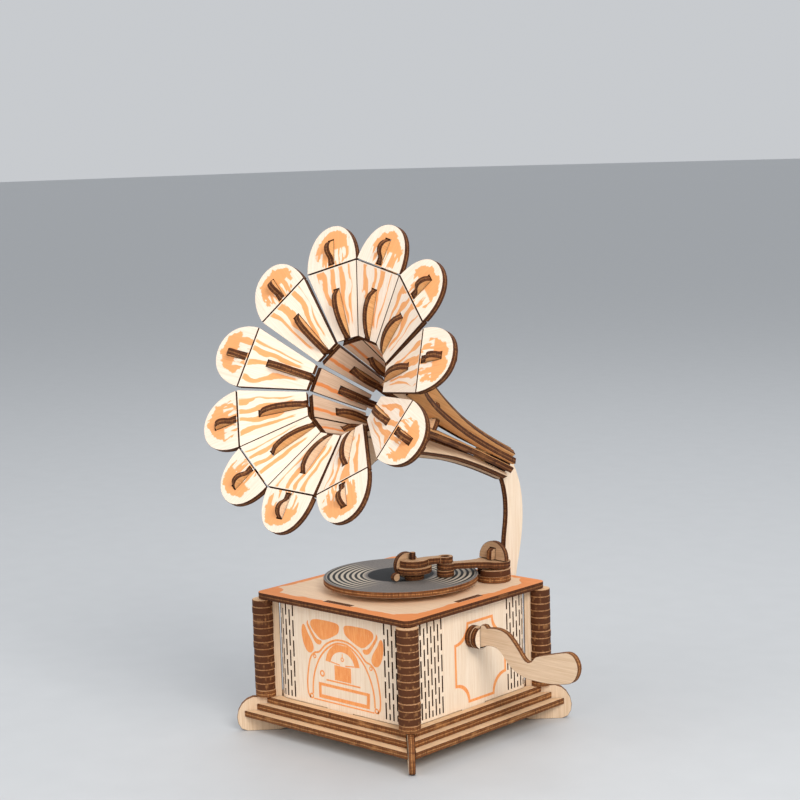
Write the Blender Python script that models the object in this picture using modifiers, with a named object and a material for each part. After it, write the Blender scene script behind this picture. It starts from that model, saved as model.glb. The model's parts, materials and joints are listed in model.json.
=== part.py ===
"""Laser-cut plywood gramophone, built as separate plates, disc stacks, fins and petals.

Z is up, the horn mouth and the printed front face -Y, and the crank sticks out along
+X.  Every piece is modelled round the middle of the square case, and the finished model
is then moved so that the middle of its footprint stands on the world origin.
"""
import math

import bmesh
import bpy
from mathutils import Matrix, Vector

MM = 0.001

# Plywood
PLY = 2.7 * MM
GAP = 0.3 * MM
PITCH = PLY + GAP
SLOT = PLY + 2 * GAP
FREE = 0.15 * MM

# Middle of the case, measured from the middle of the whole footprint
CASE_AT = Vector((-22.2, 20.8, 0.0)) * MM

# Base plates, lowest and widest first: half width and underside height
BOTTOM_HALF = 51.1 * MM
MIDDLE_HALF = 47.2 * MM
UPPER_HALF = 44.0 * MM
BASE_Z = 6.6 * MM

# Corner ribs, measured along the diagonal from the centre
RIB_INNER = 50.0 * MM
RIB_SLIT = 49.7 * MM
RIB_NECK = 53.7 * MM
COLUMN_AT = 60.8 * MM
COLUMN_RADIUS = 4.75 * MM
COLUMN_GROOVE = 0.35 * MM
COLUMN_DISCS = 14

# Case wall, one sheet bent round four corners
WALL_HALF = 40.3 * MM
WALL_CORNER = 9.0 * MM
WALL_Z = 15.6 * MM
TAB_HALF = 7.6 * MM

# Top plate
TOP_HALF = 45.25 * MM
TOP_CORNER = 3.6 * MM
TOP_Z = 59.4 * MM

# Record
RECORD_RADIUS = 33.9 * MM
RECORD_Z = 64.8 * MM
HUB_RADIUS = 9.0 * MM
SPINDLE_RADIUS = 2.0 * MM

# Tonearm, in plan
TOWER = Vector((26.0, 32.5, 0.0)) * MM
LINK = Vector((18.8, 8.4, 0.0)) * MM
SOUNDBOX = Vector((11.2, -3.7, 0.0)) * MM
TOWER_RADIUS = 7.4 * MM
TOWER_Z = 62.4 * MM
ARM_Z = 70.8 * MM
LINK_RADIUS = 3.8 * MM
WIDE_RADIUS = 7.9 * MM
BRIDGE_RADIUS = 6.5 * MM
SMALL_RADIUS = 4.5 * MM
DIAPHRAGM_RADIUS = 5.6 * MM
DIAPHRAGM_FLAT = 0.5 * MM
MOON_RADIUS = 7.4 * MM
MOON_SINK = -0.6 * MM
MOON_SLOT_AT = 0.2 * MM
MOON_SLOT_DEPTH = 5.2 * MM
ARM_LEAN = math.radians(4.5)
TOWER_DISCS = 2

# Crank
CRANK_Z = 46.0 * MM
BOSS_RADIUS = 4.8 * MM
SHAFT_RADIUS = 2.0 * MM

# Horn: mouth centre at the fold between petals and lobes, tilted up towards -Y
HORN_CENTRE = Vector((24.4, -66.0, 163.5)) * MM
HORN_TILT = math.radians(25.0)
FOLD_RADIUS = 48.0 * MM
THROAT_RADIUS = 20.56 * MM
THROAT_BACK = 12.0 * MM
FUNNEL_RADIUS = 13.6 * MM
FUNNEL_BACK = 41.6 * MM
LOBE_LENGTH = 17.65 * MM
LOBE_TILT = 0.1
WEDGE = math.radians(15.5)
SEAM = 0.25 * MM
NECK_END = 118.7 * MM
RING_BACK = 56.0 * MM
PETAL_ANGLES = (-17, 14, 45, 79, 113, 149.5, 182, 213, 244, 276.5, 310)


# ---------------------------------------------------------------- helpers

def new_collection(name):
    group = bpy.data.collections.new(name)
    bpy.context.scene.collection.children.link(group)
    return group


def wood(name, colour, roughness):
    material = bpy.data.materials.new(name)
    material.use_nodes = True
    shader = material.node_tree.nodes["Principled BSDF"]
    shader.inputs["Base Color"].default_value = (*colour, 1.0)
    shader.inputs["Roughness"].default_value = roughness
    material.diffuse_color = (*colour, 1.0)
    return material


def clear_scene():
    for thing in list(bpy.data.objects):
        bpy.data.objects.remove(thing, do_unlink=True)


def add_object(name, mesh, colour, group):
    thing = bpy.data.objects.new(name, mesh)
    group.objects.link(thing)
    if colour is not None:
        material = wood(name + "_wood", colour, 0.7)
        mesh.materials.clear()
        mesh.materials.append(material)
    return thing


def set_origin(thing, point):
    """Move the object's origin to a world point without moving its surface."""
    thing.data.transform(Matrix.Translation(-Vector(point)))
    thing.location = point


def flat_mesh(outline, thickness, holes=()):
    """A flat plate in the XY plane, from z = 0 to its thickness."""
    curve = bpy.data.curves.new("outline", "CURVE")
    curve.dimensions = "2D"
    curve.fill_mode = "BOTH"
    curve.extrude = thickness / 2
    for ring in (outline, *holes):
        spline = curve.splines.new("POLY")
        spline.points.add(len(ring) - 1)
        for point, (x, y) in zip(spline.points, ring):
            point.co = (x, y, 0.0, 1.0)
        spline.use_cyclic_u = True
    holder = bpy.data.objects.new("outline", curve)
    bpy.context.scene.collection.objects.link(holder)
    graph = bpy.context.evaluated_depsgraph_get()
    mesh = bpy.data.meshes.new_from_object(holder.evaluated_get(graph))
    bpy.data.objects.remove(holder, do_unlink=True)
    bpy.data.curves.remove(curve)
    work = bmesh.new()
    work.from_mesh(mesh)
    bmesh.ops.remove_doubles(work, verts=work.verts, dist=0.000005)
    bmesh.ops.translate(work, verts=work.verts, vec=(0, 0, thickness / 2))
    bmesh.ops.recalc_face_normals(work, faces=work.faces)
    work.to_mesh(mesh)
    work.free()
    return mesh


def fix_normals(mesh):
    work = bmesh.new()
    work.from_mesh(mesh)
    bmesh.ops.recalc_face_normals(work, faces=work.faces)
    work.to_mesh(mesh)
    work.free()


def lathe_mesh(profile, turns):
    """A closed body turned round Z from (radius, height) points, lowest first."""
    points = [(0.0, profile[0][1]), *profile, (0.0, profile[-1][1])]
    line = bpy.data.meshes.new("profile")
    verts = [(radius, 0.0, height) for radius, height in reversed(points)]
    edges = [(index, index + 1) for index in range(len(verts) - 1)]
    line.from_pydata(verts, edges, [])
    holder = bpy.data.objects.new("profile", line)
    bpy.context.scene.collection.objects.link(holder)
    screw = holder.modifiers.new("turn", "SCREW")
    screw.steps = turns
    screw.render_steps = turns
    screw.use_merge_vertices = True
    screw.merge_threshold = 0.00001
    graph = bpy.context.evaluated_depsgraph_get()
    mesh = bpy.data.meshes.new_from_object(holder.evaluated_get(graph))
    bpy.data.objects.remove(holder, do_unlink=True)
    fix_normals(mesh)
    return mesh


def box_mesh(size, centre=(0, 0, 0)):
    work = bmesh.new()
    bmesh.ops.create_cube(work, size=1.0)
    bmesh.ops.scale(work, verts=work.verts, vec=size)
    bmesh.ops.translate(work, verts=work.verts, vec=centre)
    mesh = bpy.data.meshes.new("box")
    work.to_mesh(mesh)
    work.free()
    return mesh


def circle(radius, turns=32, centre=(0.0, 0.0)):
    points = []
    for step in range(turns):
        angle = 2 * math.pi * step / turns
        points.append((centre[0] + radius * math.cos(angle), centre[1] + radius * math.sin(angle)))
    return points


def rounded_square(half, corner, turns=6):
    points = []
    for quarter in range(4):
        start = quarter * math.pi / 2
        for step in range(turns + 1):
            angle = start + step * math.pi / 2 / turns
            side_x = (1, -1, -1, 1)[quarter]
            side_y = (1, 1, -1, -1)[quarter]
            x = side_x * (half - corner) + corner * math.cos(angle)
            y = side_y * (half - corner) + corner * math.sin(angle)
            points.append((x, y))
    return points


def rectangle(width, height, centre=(0.0, 0.0)):
    x, y = centre
    w, h = width / 2, height / 2
    return [(x - w, y - h), (x + w, y - h), (x + w, y + h), (x - w, y + h)]


def curve_through(points, steps=2):
    """Open Catmull-Rom curve through plan points, ends kept."""
    last = len(points) - 1
    made = []
    for index in range(last):
        p0, p1, p2, p3 = (Vector(points[min(max(index + offset, 0), last)]) for offset in (-1, 0, 1, 2))
        for step in range(steps):
            t = step / steps
            spot = p1 * 2 + (p2 - p0) * t
            spot += (p0 * 2 - p1 * 5 + p2 * 4 - p3) * t * t
            spot += (p1 * 3 - p0 - p2 * 3 + p3) * t * t * t
            made.append((spot.x / 2, spot.y / 2))
    made.append(tuple(points[last]))
    return made


def boolean(thing, cutter_meshes, operation, cutters):
    """Apply exact Boolean cutters, or join bodies, one after another."""
    for mesh in cutter_meshes:
        cutter = bpy.data.objects.new(thing.name + "_cutter", mesh)
        cutters.objects.link(cutter)
        cutter.hide_render = True
        cutter.display_type = "WIRE"
        step = thing.modifiers.new(operation.lower(), "BOOLEAN")
        step.operation = operation
        step.solver = "EXACT"
        step.object = cutter
    graph = bpy.context.evaluated_depsgraph_get()
    result = bpy.data.meshes.new_from_object(thing.evaluated_get(graph))
    thing.modifiers.clear()
    thing.data = result
    for mesh in cutter_meshes:
        for cutter in [item for item in cutters.objects if item.data == mesh]:
            bpy.data.objects.remove(cutter, do_unlink=True)
    return thing


# ---------------------------------------------------------------- base and case

def slit_square(half):
    """Square outline whose corners are slit along the diagonals for the corner ribs."""
    w = SLOT / 2
    reach = RIB_SLIT / math.sqrt(2)
    side = w / math.sqrt(2)
    points = []
    for sx, sy in ((1, 1), (-1, 1), (-1, -1), (1, -1)):
        first = (sx * half, sy * (half - 2 * side))
        second = (sx * (reach + side), sy * (reach - side))
        third = (sx * (reach - side), sy * (reach + side))
        fourth = (sx * (half - 2 * side), sy * half)
        corner = [first, second, third, fourth]
        if sx * sy < 0:
            corner.reverse()
        points.extend(corner)
    return points


def tab_holes(width=SLOT - GAP):
    centre = WALL_HALF - PLY / 2
    length = 2 * TAB_HALF + 2 * GAP
    return [
        rectangle(length, width, (0, centre)),
        rectangle(length, width, (0, -centre)),
        rectangle(width, length, (centre, 0)),
        rectangle(width, length, (-centre, 0)),
    ]


def base_plates(group):
    plates = (
        ("base_plate_bottom", BOTTOM_HALF, ()),
        ("base_plate_middle", MIDDLE_HALF, ()),
        ("base_plate_upper", UPPER_HALF, tab_holes()),
    )
    for level, (name, half, holes) in enumerate(plates):
        mesh = flat_mesh(slit_square(half), PLY, holes)
        mesh.transform(Matrix.Translation((0, 0, BASE_Z + level * PITCH)))
        add_object(name, mesh, (0.78, 0.62, 0.42), group)


def diagonal_matrix(angle):
    """Maps plate (x, y, z) to (distance along the diagonal, height, thickness)."""
    out = Vector((math.cos(angle), math.sin(angle), 0))
    side = Vector((math.sin(angle), -math.cos(angle), 0))
    up = Vector((0, 0, 1))
    return Matrix((
        (out.x, up.x, side.x, 0),
        (out.y, up.y, side.y, 0),
        (out.z, up.z, side.z, 0),
        (0, 0, 0, 1),
    ))


CORNERS = (
    ("back_right", 45),
    ("back_left", 135),
    ("front_left", 225),
    ("front_right", 315),
)


def rib_outline():
    top = TOP_Z - GAP
    plate_top = BASE_Z + 2 * PITCH + PLY
    column_edge = COLUMN_AT
    foot = [
        (52.0, 0.9), (55.0, 0.0), (69.6, 0.0), (72.2, 1.0), (73.6, 3.4),
        (74.0, 6.4), (73.4, 9.4), (71.8, 12.2), (69.6, 14.2), (66.8, 15.3),
    ]
    points = [(RIB_INNER, 2.4 * MM)]
    points.extend((r * MM, z * MM) for r, z in foot)
    points.append((column_edge, plate_top))
    points.append((column_edge, top))
    points.append((RIB_NECK, top))
    points.append((RIB_NECK, plate_top))
    points.append((RIB_INNER, plate_top))
    return points


def corner_ribs(group):
    for name, degrees in CORNERS:
        mesh = flat_mesh(rib_outline(), PLY)
        mesh.transform(Matrix.Translation((0, 0, -PLY / 2)))
        mesh.transform(diagonal_matrix(math.radians(degrees)))
        fix_normals(mesh)
        add_object("corner_rib_" + name, mesh, (0.83, 0.66, 0.45), group)


def column_profile(height):
    """Zigzag profile: every disc is widest at its middle and meets the next in a groove."""
    pitch = height / COLUMN_DISCS
    profile = [(COLUMN_RADIUS - COLUMN_GROOVE, 0.0)]
    for level in range(COLUMN_DISCS):
        profile.append((COLUMN_RADIUS, (level + 0.5) * pitch))
        profile.append((COLUMN_RADIUS - COLUMN_GROOVE, (level + 1) * pitch))
    return profile


def columns(group, cutters):
    height = TOP_Z - GAP - WALL_Z
    for name, degrees in CORNERS:
        angle = math.radians(degrees)
        out = Vector((math.cos(angle), math.sin(angle), 0))
        mesh = lathe_mesh(column_profile(height), 14)
        mesh.transform(Matrix.Rotation(angle, 4, "Z"))
        mesh.transform(Matrix.Translation(out * COLUMN_AT + Vector((0, 0, WALL_Z))))
        column = add_object("column_" + name, mesh, (0.36, 0.18, 0.08), group)
        length = COLUMN_RADIUS + 4 * MM
        notch = box_mesh((length, PLY + GAP, height + 4 * MM), (-length / 2 + 0.3 * MM, 0, 0))
        notch.transform(Matrix.Rotation(angle, 4, "Z"))
        notch.transform(Matrix.Translation(out * COLUMN_AT + Vector((0, 0, WALL_Z + height / 2))))
        boolean(column, [notch], "DIFFERENCE", cutters)


def wall_wrap(group, cutters):
    height = TOP_Z - GAP - WALL_Z
    outer = rounded_square(WALL_HALF, WALL_CORNER)
    inner = rounded_square(WALL_HALF - PLY, WALL_CORNER - PLY)
    mesh = flat_mesh(outer, height, [inner])
    mesh.transform(Matrix.Translation((0, 0, WALL_Z)))
    wall = add_object("wall_wrap", mesh, (0.86, 0.72, 0.52), group)
    low = BASE_Z + 2 * PITCH
    high = TOP_Z + PLY
    thick = PLY - 0.1 * MM
    centre = WALL_HALF - PLY / 2
    tabs = []
    for sx, sy in ((1, 0), (-1, 0), (0, 1), (0, -1)):
        size = (thick if sx else 2 * TAB_HALF, thick if sy else 2 * TAB_HALF, high - low)
        tabs.append(box_mesh(size, (sx * centre, sy * centre, (low + high) / 2)))
    boolean(wall, tabs, "UNION", cutters)
    hole = lathe_mesh([(SHAFT_RADIUS + GAP, 0), (SHAFT_RADIUS + GAP, 12 * MM)], 24)
    hole.transform(Matrix.Rotation(math.pi / 2, 4, "Y"))
    hole.transform(Matrix.Translation((33 * MM, 0, CRANK_Z)))
    arm_slot = box_mesh((SLOT, 8 * MM, 7 * MM), (HORN_CENTRE.x, WALL_HALF, 53 * MM))
    boolean(wall, [hole, arm_slot], "DIFFERENCE", cutters)


def top_plate(group):
    tower_hole = circle(SPINDLE_RADIUS + GAP, 24, (TOWER.x, TOWER.y))
    holes = tab_holes() + [circle(SPINDLE_RADIUS + GAP, 24), tower_hole]
    turns = 6
    outline = rounded_square(TOP_HALF, TOP_CORNER, turns)
    depth = 40.6 * MM
    left = HORN_CENTRE.x - SLOT / 2
    right = HORN_CENTRE.x + SLOT / 2
    notch = [(right, TOP_HALF), (right, depth), (left, depth), (left, TOP_HALF)]
    outline[turns + 1:turns + 1] = notch
    mesh = flat_mesh(outline, PLY, holes)
    mesh.transform(Matrix.Translation((0, 0, TOP_Z)))
    add_object("top_plate", mesh, (0.86, 0.70, 0.50), group)


# ---------------------------------------------------------------- record

def record_group(group):
    mesh = flat_mesh(circle(RECORD_RADIUS, 64), PLY, [circle(SPINDLE_RADIUS + FREE, 24)])
    mesh.transform(Matrix.Translation((0, 0, RECORD_Z)))
    record = add_object("record", mesh, (0.16, 0.15, 0.15), group)
    set_origin(record, (0, 0, RECORD_Z))
    mesh = flat_mesh(circle(HUB_RADIUS, 32), RECORD_Z - GAP - TOWER_Z, [circle(SPINDLE_RADIUS + FREE, 24)])
    mesh.transform(Matrix.Translation((0, 0, TOWER_Z)))
    hub = add_object("record_hub", mesh, (0.40, 0.22, 0.11), group)
    set_origin(hub, (0, 0, TOWER_Z))
    low = TOP_Z - 6 * MM
    head = low + PLY
    profile = [
        (5 * MM, low), (5 * MM, head),
        (SPINDLE_RADIUS, head), (SPINDLE_RADIUS, RECORD_Z + PLY),
    ]
    spindle = add_object("record_spindle", lathe_mesh(profile, 24), (0.45, 0.27, 0.14), group)
    set_origin(spindle, (0, 0, low))


# ---------------------------------------------------------------- tonearm

def tower(group, cutters):
    profile = [(TOWER_RADIUS, 0)]
    for level in range(1, TOWER_DISCS):
        z = level * PLY
        profile.append((TOWER_RADIUS, z - FREE))
        profile.append((TOWER_RADIUS - GAP, z))
        profile.append((TOWER_RADIUS, z + FREE))
    profile.append((TOWER_RADIUS, TOWER_DISCS * PLY))
    mesh = lathe_mesh(profile, 32)
    mesh.transform(Matrix.Translation(TOWER + Vector((0, 0, TOWER_Z))))
    stack = add_object("tonearm_tower", mesh, (0.38, 0.20, 0.09), group)
    bore = lathe_mesh([(SPINDLE_RADIUS + FREE, 0), (SPINDLE_RADIUS + FREE, 12 * MM)], 24)
    bore.transform(Matrix.Translation(TOWER + Vector((0, 0, TOWER_Z - 2 * MM))))
    window = lathe_mesh([(2.6 * MM, 0), (2.6 * MM, PLY)], 20)
    window.transform(Matrix.Translation(TOWER + Vector((-4.4 * MM, -6.6 * MM, TOWER_Z + PLY))))
    boolean(stack, [bore, window], "DIFFERENCE", cutters)


def arm_outline():
    """Round tower end, a bar that narrows, and the round link end."""
    along = (LINK - TOWER).normalized()
    side = Vector((along.y, -along.x, 0))
    length = (LINK - TOWER).length
    points = []
    start = math.radians(38)
    for step in range(25):
        angle = start + step * (2 * math.pi - 2 * start) / 24
        point = TOWER + TOWER_RADIUS * (along * math.cos(angle) + side * math.sin(angle))
        points.append((point.x, point.y))
    waist = ((0.42, -3.0), (0.62, -2.4), (0.8, -2.2))
    for share, width in waist:
        point = TOWER + along * length * share + side * width * MM
        points.append((point.x, point.y))
    spread = math.radians(140)
    for step in range(13):
        angle = -spread + step * 2 * spread / 12
        point = LINK + LINK_RADIUS * (along * math.cos(angle) + side * math.sin(angle))
        points.append((point.x, point.y))
    for share, width in reversed(waist):
        point = TOWER + along * length * share - side * width * MM
        points.append((point.x, point.y))
    return points


def flat_cut(points, line_point, normal):
    """Trim a convex outline to the side of a straight line that the normal points away from."""
    kept = []
    count = len(points)
    for index in range(count):
        a = Vector((*points[index], 0))
        b = Vector((*points[(index + 1) % count], 0))
        da = (a - line_point).dot(normal)
        db = (b - line_point).dot(normal)
        if da <= 0:
            kept.append((a.x, a.y))
        if (da < 0 < db) or (db < 0 < da):
            cross = a + (b - a) * (da / (da - db))
            kept.append((cross.x, cross.y))
    return kept


def diaphragm_frame():
    along = (LINK - TOWER).normalized()
    across = Vector((-along.y, along.x, 0))
    if across.x > 0:
        across = -across
    return along, across


def bridge_outline():
    """Soundbox disc and link disc joined by a narrow neck, with a flat for the diaphragm."""
    along, across = diaphragm_frame()
    reach = (LINK - SOUNDBOX).normalized()
    side = Vector((-reach.y, reach.x, 0))
    points = []
    start = math.radians(24)
    for step in range(25):
        angle = start + step * (2 * math.pi - 2 * start) / 24
        point = SOUNDBOX + BRIDGE_RADIUS * (reach * math.cos(angle) + side * math.sin(angle))
        offset = (point - SOUNDBOX).dot(across) - DIAPHRAGM_FLAT
        if offset > 0:
            point = point - across * offset
        points.append((point.x, point.y))
    radius = 3.4 * MM
    spread = math.radians(140)
    for step in range(15):
        angle = -spread + step * 2 * spread / 14
        point = LINK + radius * (reach * math.cos(angle) + side * math.sin(angle))
        points.append((point.x, point.y))
    return points


def disc_on(name, centre, radius, low, high, colour, group, turns=28, cut=False, holes=()):
    outline = circle(radius, turns, (centre.x, centre.y))
    if cut:
        along, across = diaphragm_frame()
        outline = flat_cut(outline, centre + across * DIAPHRAGM_FLAT, across)
    mesh = flat_mesh(outline, high - low, holes)
    mesh.transform(Matrix.Translation((0, 0, low)))
    return add_object(name, mesh, colour, group)


def standing_plate(name, outline, centre, along, colour, group):
    """Upright plate: outline x runs along a horizontal direction and y runs up."""
    mesh = flat_mesh(outline, PLY)
    mesh.transform(Matrix.Translation((0, 0, -PLY / 2)))
    normal = along.cross(Vector((0, 0, 1)))
    placed = Matrix((
        (along.x, 0, normal.x, centre.x),
        (along.y, 0, normal.y, centre.y),
        (0, 1, 0, centre.z),
        (0, 0, 0, 1),
    ))
    mesh.transform(placed)
    fix_normals(mesh)
    return add_object(name, mesh, colour, group)


def moon_outline():
    """Low half disc with a slot for its cross rib; x along the disc and y up."""
    left = MOON_SLOT_AT - SLOT / 2
    right = MOON_SLOT_AT + SLOT / 2
    points = [(left, 0), (left, MOON_SLOT_DEPTH), (right, MOON_SLOT_DEPTH), (right, 0)]
    first = math.asin(MOON_SINK / MOON_RADIUS)
    steps = 16
    for step in range(steps + 1):
        angle = first + (math.pi - 2 * first) * step / steps
        points.append((MOON_RADIUS * math.cos(angle), MOON_RADIUS * math.sin(angle) - MOON_SINK))
    return points


def tonearm(group, cutters):
    dark = (0.42, 0.23, 0.11)
    pale = (0.62, 0.42, 0.26)
    along, across = diaphragm_frame()
    level = ARM_Z
    pivot_profile = [
        (4.6 * MM, TOP_Z - 3 * MM), (4.6 * MM, TOP_Z - GAP),
        (SPINDLE_RADIUS, TOP_Z - GAP), (SPINDLE_RADIUS, ARM_Z),
    ]
    mesh = lathe_mesh(pivot_profile, 24)
    mesh.transform(Matrix.Translation(TOWER))
    pivot = add_object("tonearm_pivot", mesh, dark, group)
    hole = circle(SPINDLE_RADIUS + 0.4 * MM, 24, (TOWER.x, TOWER.y))
    mesh = flat_mesh(arm_outline(), PLY, [hole])
    mesh.transform(Matrix.Translation((0, 0, level)))
    bar = add_object("tonearm_bar", mesh, pale, group)
    pieces = [pivot, bar]

    base = TOWER + Vector((0, 0, level + PLY + GAP))
    east = Vector((1, 0, 0))
    moon = standing_plate("tonearm_moon", moon_outline(), base, east, pale, group)
    rib_outline = [
        (-3.8 * MM, 0), (3.8 * MM, 0), (3.8 * MM, 3.9 * MM), (2.6 * MM, 4.9 * MM),
        (-2.6 * MM, 4.9 * MM), (-3.8 * MM, 3.8 * MM),
    ]
    rib_base = base + east * MOON_SLOT_AT
    rib = standing_plate("tonearm_moon_rib", rib_outline, rib_base, Vector((0, 1, 0)), pale, group)
    hinge = Matrix.Translation(LINK + Vector((0, 0, level + PLY / 2)))
    lean = hinge @ Matrix.Rotation(ARM_LEAN, 4, across) @ hinge.inverted()
    for piece in (bar, moon, rib):
        piece.data.transform(lean)
    pieces.extend((moon, rib))

    low = level - PITCH
    high = level + PITCH
    pieces.append(disc_on("link_disc", LINK, LINK_RADIUS, low, low + PLY, dark, group, 24))
    pieces.append(disc_on("soundbox_disc_small", SOUNDBOX, SMALL_RADIUS, low, low + PLY, dark, group, 24, True))
    pieces.append(disc_on("soundbox_disc_wide", SOUNDBOX, WIDE_RADIUS, level, level + PLY, dark, group, 32, True))
    link_hole = circle(2.0 * MM, 20, (LINK.x, LINK.y))
    mesh = flat_mesh(bridge_outline(), PLY, [link_hole])
    mesh.transform(Matrix.Translation((0, 0, high)))
    bridge = add_object("soundbox_bridge", mesh, pale, group)
    peg = lathe_mesh([(1.3 * MM, 0), (1.3 * MM, 4.6 * MM), (1.0 * MM, 5.0 * MM)], 12)
    peg.transform(Matrix.Translation(SOUNDBOX + Vector((0.8 * MM, -1.2 * MM, high + 1 * MM))))
    boolean(bridge, [peg], "UNION", cutters)
    pieces.append(bridge)

    centre = SOUNDBOX + along * 2.5 * MM + across * 2.25 * MM + Vector((0, 0, 73.9 * MM))
    outline = circle(DIAPHRAGM_RADIUS, 32)
    pieces.append(standing_plate("soundbox_diaphragm", outline, centre, along, pale, group))
    tip = [
        (5.7, -4.6), (6.3, -5.4), (7.2, -5.8), (8.2, -5.4), (8.8, -4.4),
        (8.6, -3.2), (7.6, -2.4), (6.4, -2.2), (5.7, -2.8),
    ]
    stylus_outline = [(x * MM, z * MM) for x, z in tip]
    pieces.append(standing_plate("stylus", stylus_outline, centre - across * (PLY + GAP), along, pale, group))
    for piece in pieces:
        set_origin(piece, (TOWER.x, TOWER.y, ARM_Z))


# ---------------------------------------------------------------- crank

def crank_outline():
    """Hooked start in the boss, an S-shaped arm and a rounded paddle; x along the axle."""
    sweep = [
        (46.3, 42.2), (48.3, 42.9), (51.0, 43.6), (54.4, 43.4), (57.0, 42.0),
        (59.4, 39.4), (61.8, 36.8), (65.0, 34.7), (69.0, 33.2), (74.0, 32.6), (83.0, 32.6),
        (91.0, 33.8), (94.4, 35.0), (96.4, 37.0), (97.6, 39.8), (97.7, 42.6), (96.4, 45.4),
        (94.4, 46.9), (91.6, 47.2), (86.0, 45.8), (78.0, 43.6), (75.4, 42.4), (73.8, 40.6),
        (71.6, 39.8), (69.4, 41.0), (67.0, 44.0), (63.8, 47.6), (60.8, 50.2), (57.4, 51.4),
        (53.6, 51.6), (50.0, 51.0),
    ]
    hook = [(48.9, 52.1), (46.9, 52.1), (46.3, 50.4), (43.9, 49.6)]
    return [(43.9, 43.0)] + curve_through(sweep) + hook


def crank_group(group, cutters):
    dark = (0.34, 0.17, 0.08)
    pale = (0.84, 0.68, 0.47)
    axis = Matrix.Translation((0, 0, CRANK_Z)) @ Matrix.Rotation(math.pi / 2, 4, "Y")

    def ring(name, radius, start, end, hole, colour):
        holes = [circle(hole, 24)] if hole else ()
        mesh = flat_mesh(circle(radius, 32), end - start, holes)
        mesh.transform(Matrix.Translation((0, 0, start)))
        mesh.transform(axis)
        return add_object(name, mesh, colour, group)

    inside = WALL_HALF - PLY - GAP
    first = WALL_HALF + GAP
    pieces = [
        ring("crank_retainer", 5.2 * MM, inside - PLY, inside, SHAFT_RADIUS + FREE, dark),
        ring("crank_boss_inner", BOSS_RADIUS, first, first + PLY, SHAFT_RADIUS + FREE, dark),
        ring("crank_boss_outer", BOSS_RADIUS, first + PITCH, first + PITCH + PLY, None, pale),
        ring("crank_shaft", SHAFT_RADIUS, inside - PLY - 2 * MM, first + PLY, None, dark),
    ]
    slot = box_mesh((8 * MM, SLOT, 10 * MM), (first + PITCH + PLY / 2, 0, CRANK_Z + 0.9 * MM))
    boolean(pieces[2], [slot], "DIFFERENCE", cutters)
    outline = [(x * MM, z * MM) for x, z in crank_outline()]
    pieces.append(standing_plate("crank_plate", outline, Vector((0, 0, 0)), Vector((1, 0, 0)), pale, group))
    for piece in pieces:
        set_origin(piece, (first, 0, CRANK_Z))


# ---------------------------------------------------------------- horn

def horn_matrix(degrees=0.0):
    """Horn frame: x radial at the given angle, y tangential, z along the axis to the mouth."""
    axis = Vector((0, -math.cos(HORN_TILT), math.sin(HORN_TILT)))
    side = Vector((1, 0, 0))
    up = Vector((0, math.sin(HORN_TILT), math.cos(HORN_TILT)))
    angle = math.radians(degrees)
    radial = up * math.cos(angle) + side * math.sin(angle)
    tangent = axis.cross(radial)
    return Matrix((
        (radial.x, tangent.x, axis.x, HORN_CENTRE.x),
        (radial.y, tangent.y, axis.y, HORN_CENTRE.y),
        (radial.z, tangent.z, axis.z, HORN_CENTRE.z),
        (0, 0, 0, 1),
    ))


def corner_offset(before, corner, after, distance):
    """Corner of a bent sheet at a distance behind its front line."""
    first = (corner - before).normalized()
    second = (after - corner).normalized()
    n1 = Vector((-first.y, first.x))
    n2 = Vector((-second.y, second.x))
    middle = (n1 + n2).normalized()
    return corner - middle * (distance / middle.dot(n1))


FRONT_REAR = Vector((FUNNEL_RADIUS, -FUNNEL_BACK))
FRONT_THROAT = Vector((THROAT_RADIUS, -THROAT_BACK))
FRONT_FOLD = Vector((FOLD_RADIUS, 0.0))
LOBE_WAY = Vector((math.cos(LOBE_TILT), math.sin(LOBE_TILT)))


def petal_rows():
    """Front point, back point and half width of each row, from throat to lobe tip."""
    way = (FRONT_FOLD - FRONT_THROAT).normalized()
    back = Vector((way.y, -way.x))
    throat_half = THROAT_RADIUS * math.tan(WEDGE) - SEAM
    fold_half = FOLD_RADIUS * math.tan(WEDGE) - SEAM
    rows = [(FRONT_THROAT, FRONT_THROAT + back * PLY, throat_half)]
    tip = FRONT_FOLD + LOBE_WAY
    rows.append((FRONT_FOLD, corner_offset(FRONT_THROAT, FRONT_FOLD, tip, PLY), fold_half))
    lobe_back = Vector((LOBE_WAY.y, -LOBE_WAY.x))
    steps = 13
    for step in range(1, steps):
        turn = math.pi / 2 * step / steps
        reach = math.sin(turn) ** 0.92
        front = FRONT_FOLD + LOBE_WAY * LOBE_LENGTH * reach
        rows.append((front, front + lobe_back * PLY, fold_half * math.cos(turn) ** 0.92))
    front = FRONT_FOLD + LOBE_WAY * LOBE_LENGTH
    rows.append((front, front + lobe_back * PLY, 1.2 * MM))
    return rows


def bent_plate(rows):
    work = bmesh.new()
    rings = []
    for front, back, half in rows:
        rings.append([
            work.verts.new((front.x, -half, front.y)),
            work.verts.new((front.x, half, front.y)),
            work.verts.new((back.x, half, back.y)),
            work.verts.new((back.x, -half, back.y)),
        ])
    for low, high in zip(rings, rings[1:]):
        for step in range(4):
            after = (step + 1) % 4
            work.faces.new((low[step], low[after], high[after], high[step]))
    work.faces.new(rings[0])
    work.faces.new(rings[-1])
    bmesh.ops.recalc_face_normals(work, faces=work.faces)
    mesh = bpy.data.meshes.new("bent")
    work.to_mesh(mesh)
    work.free()
    return mesh


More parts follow.
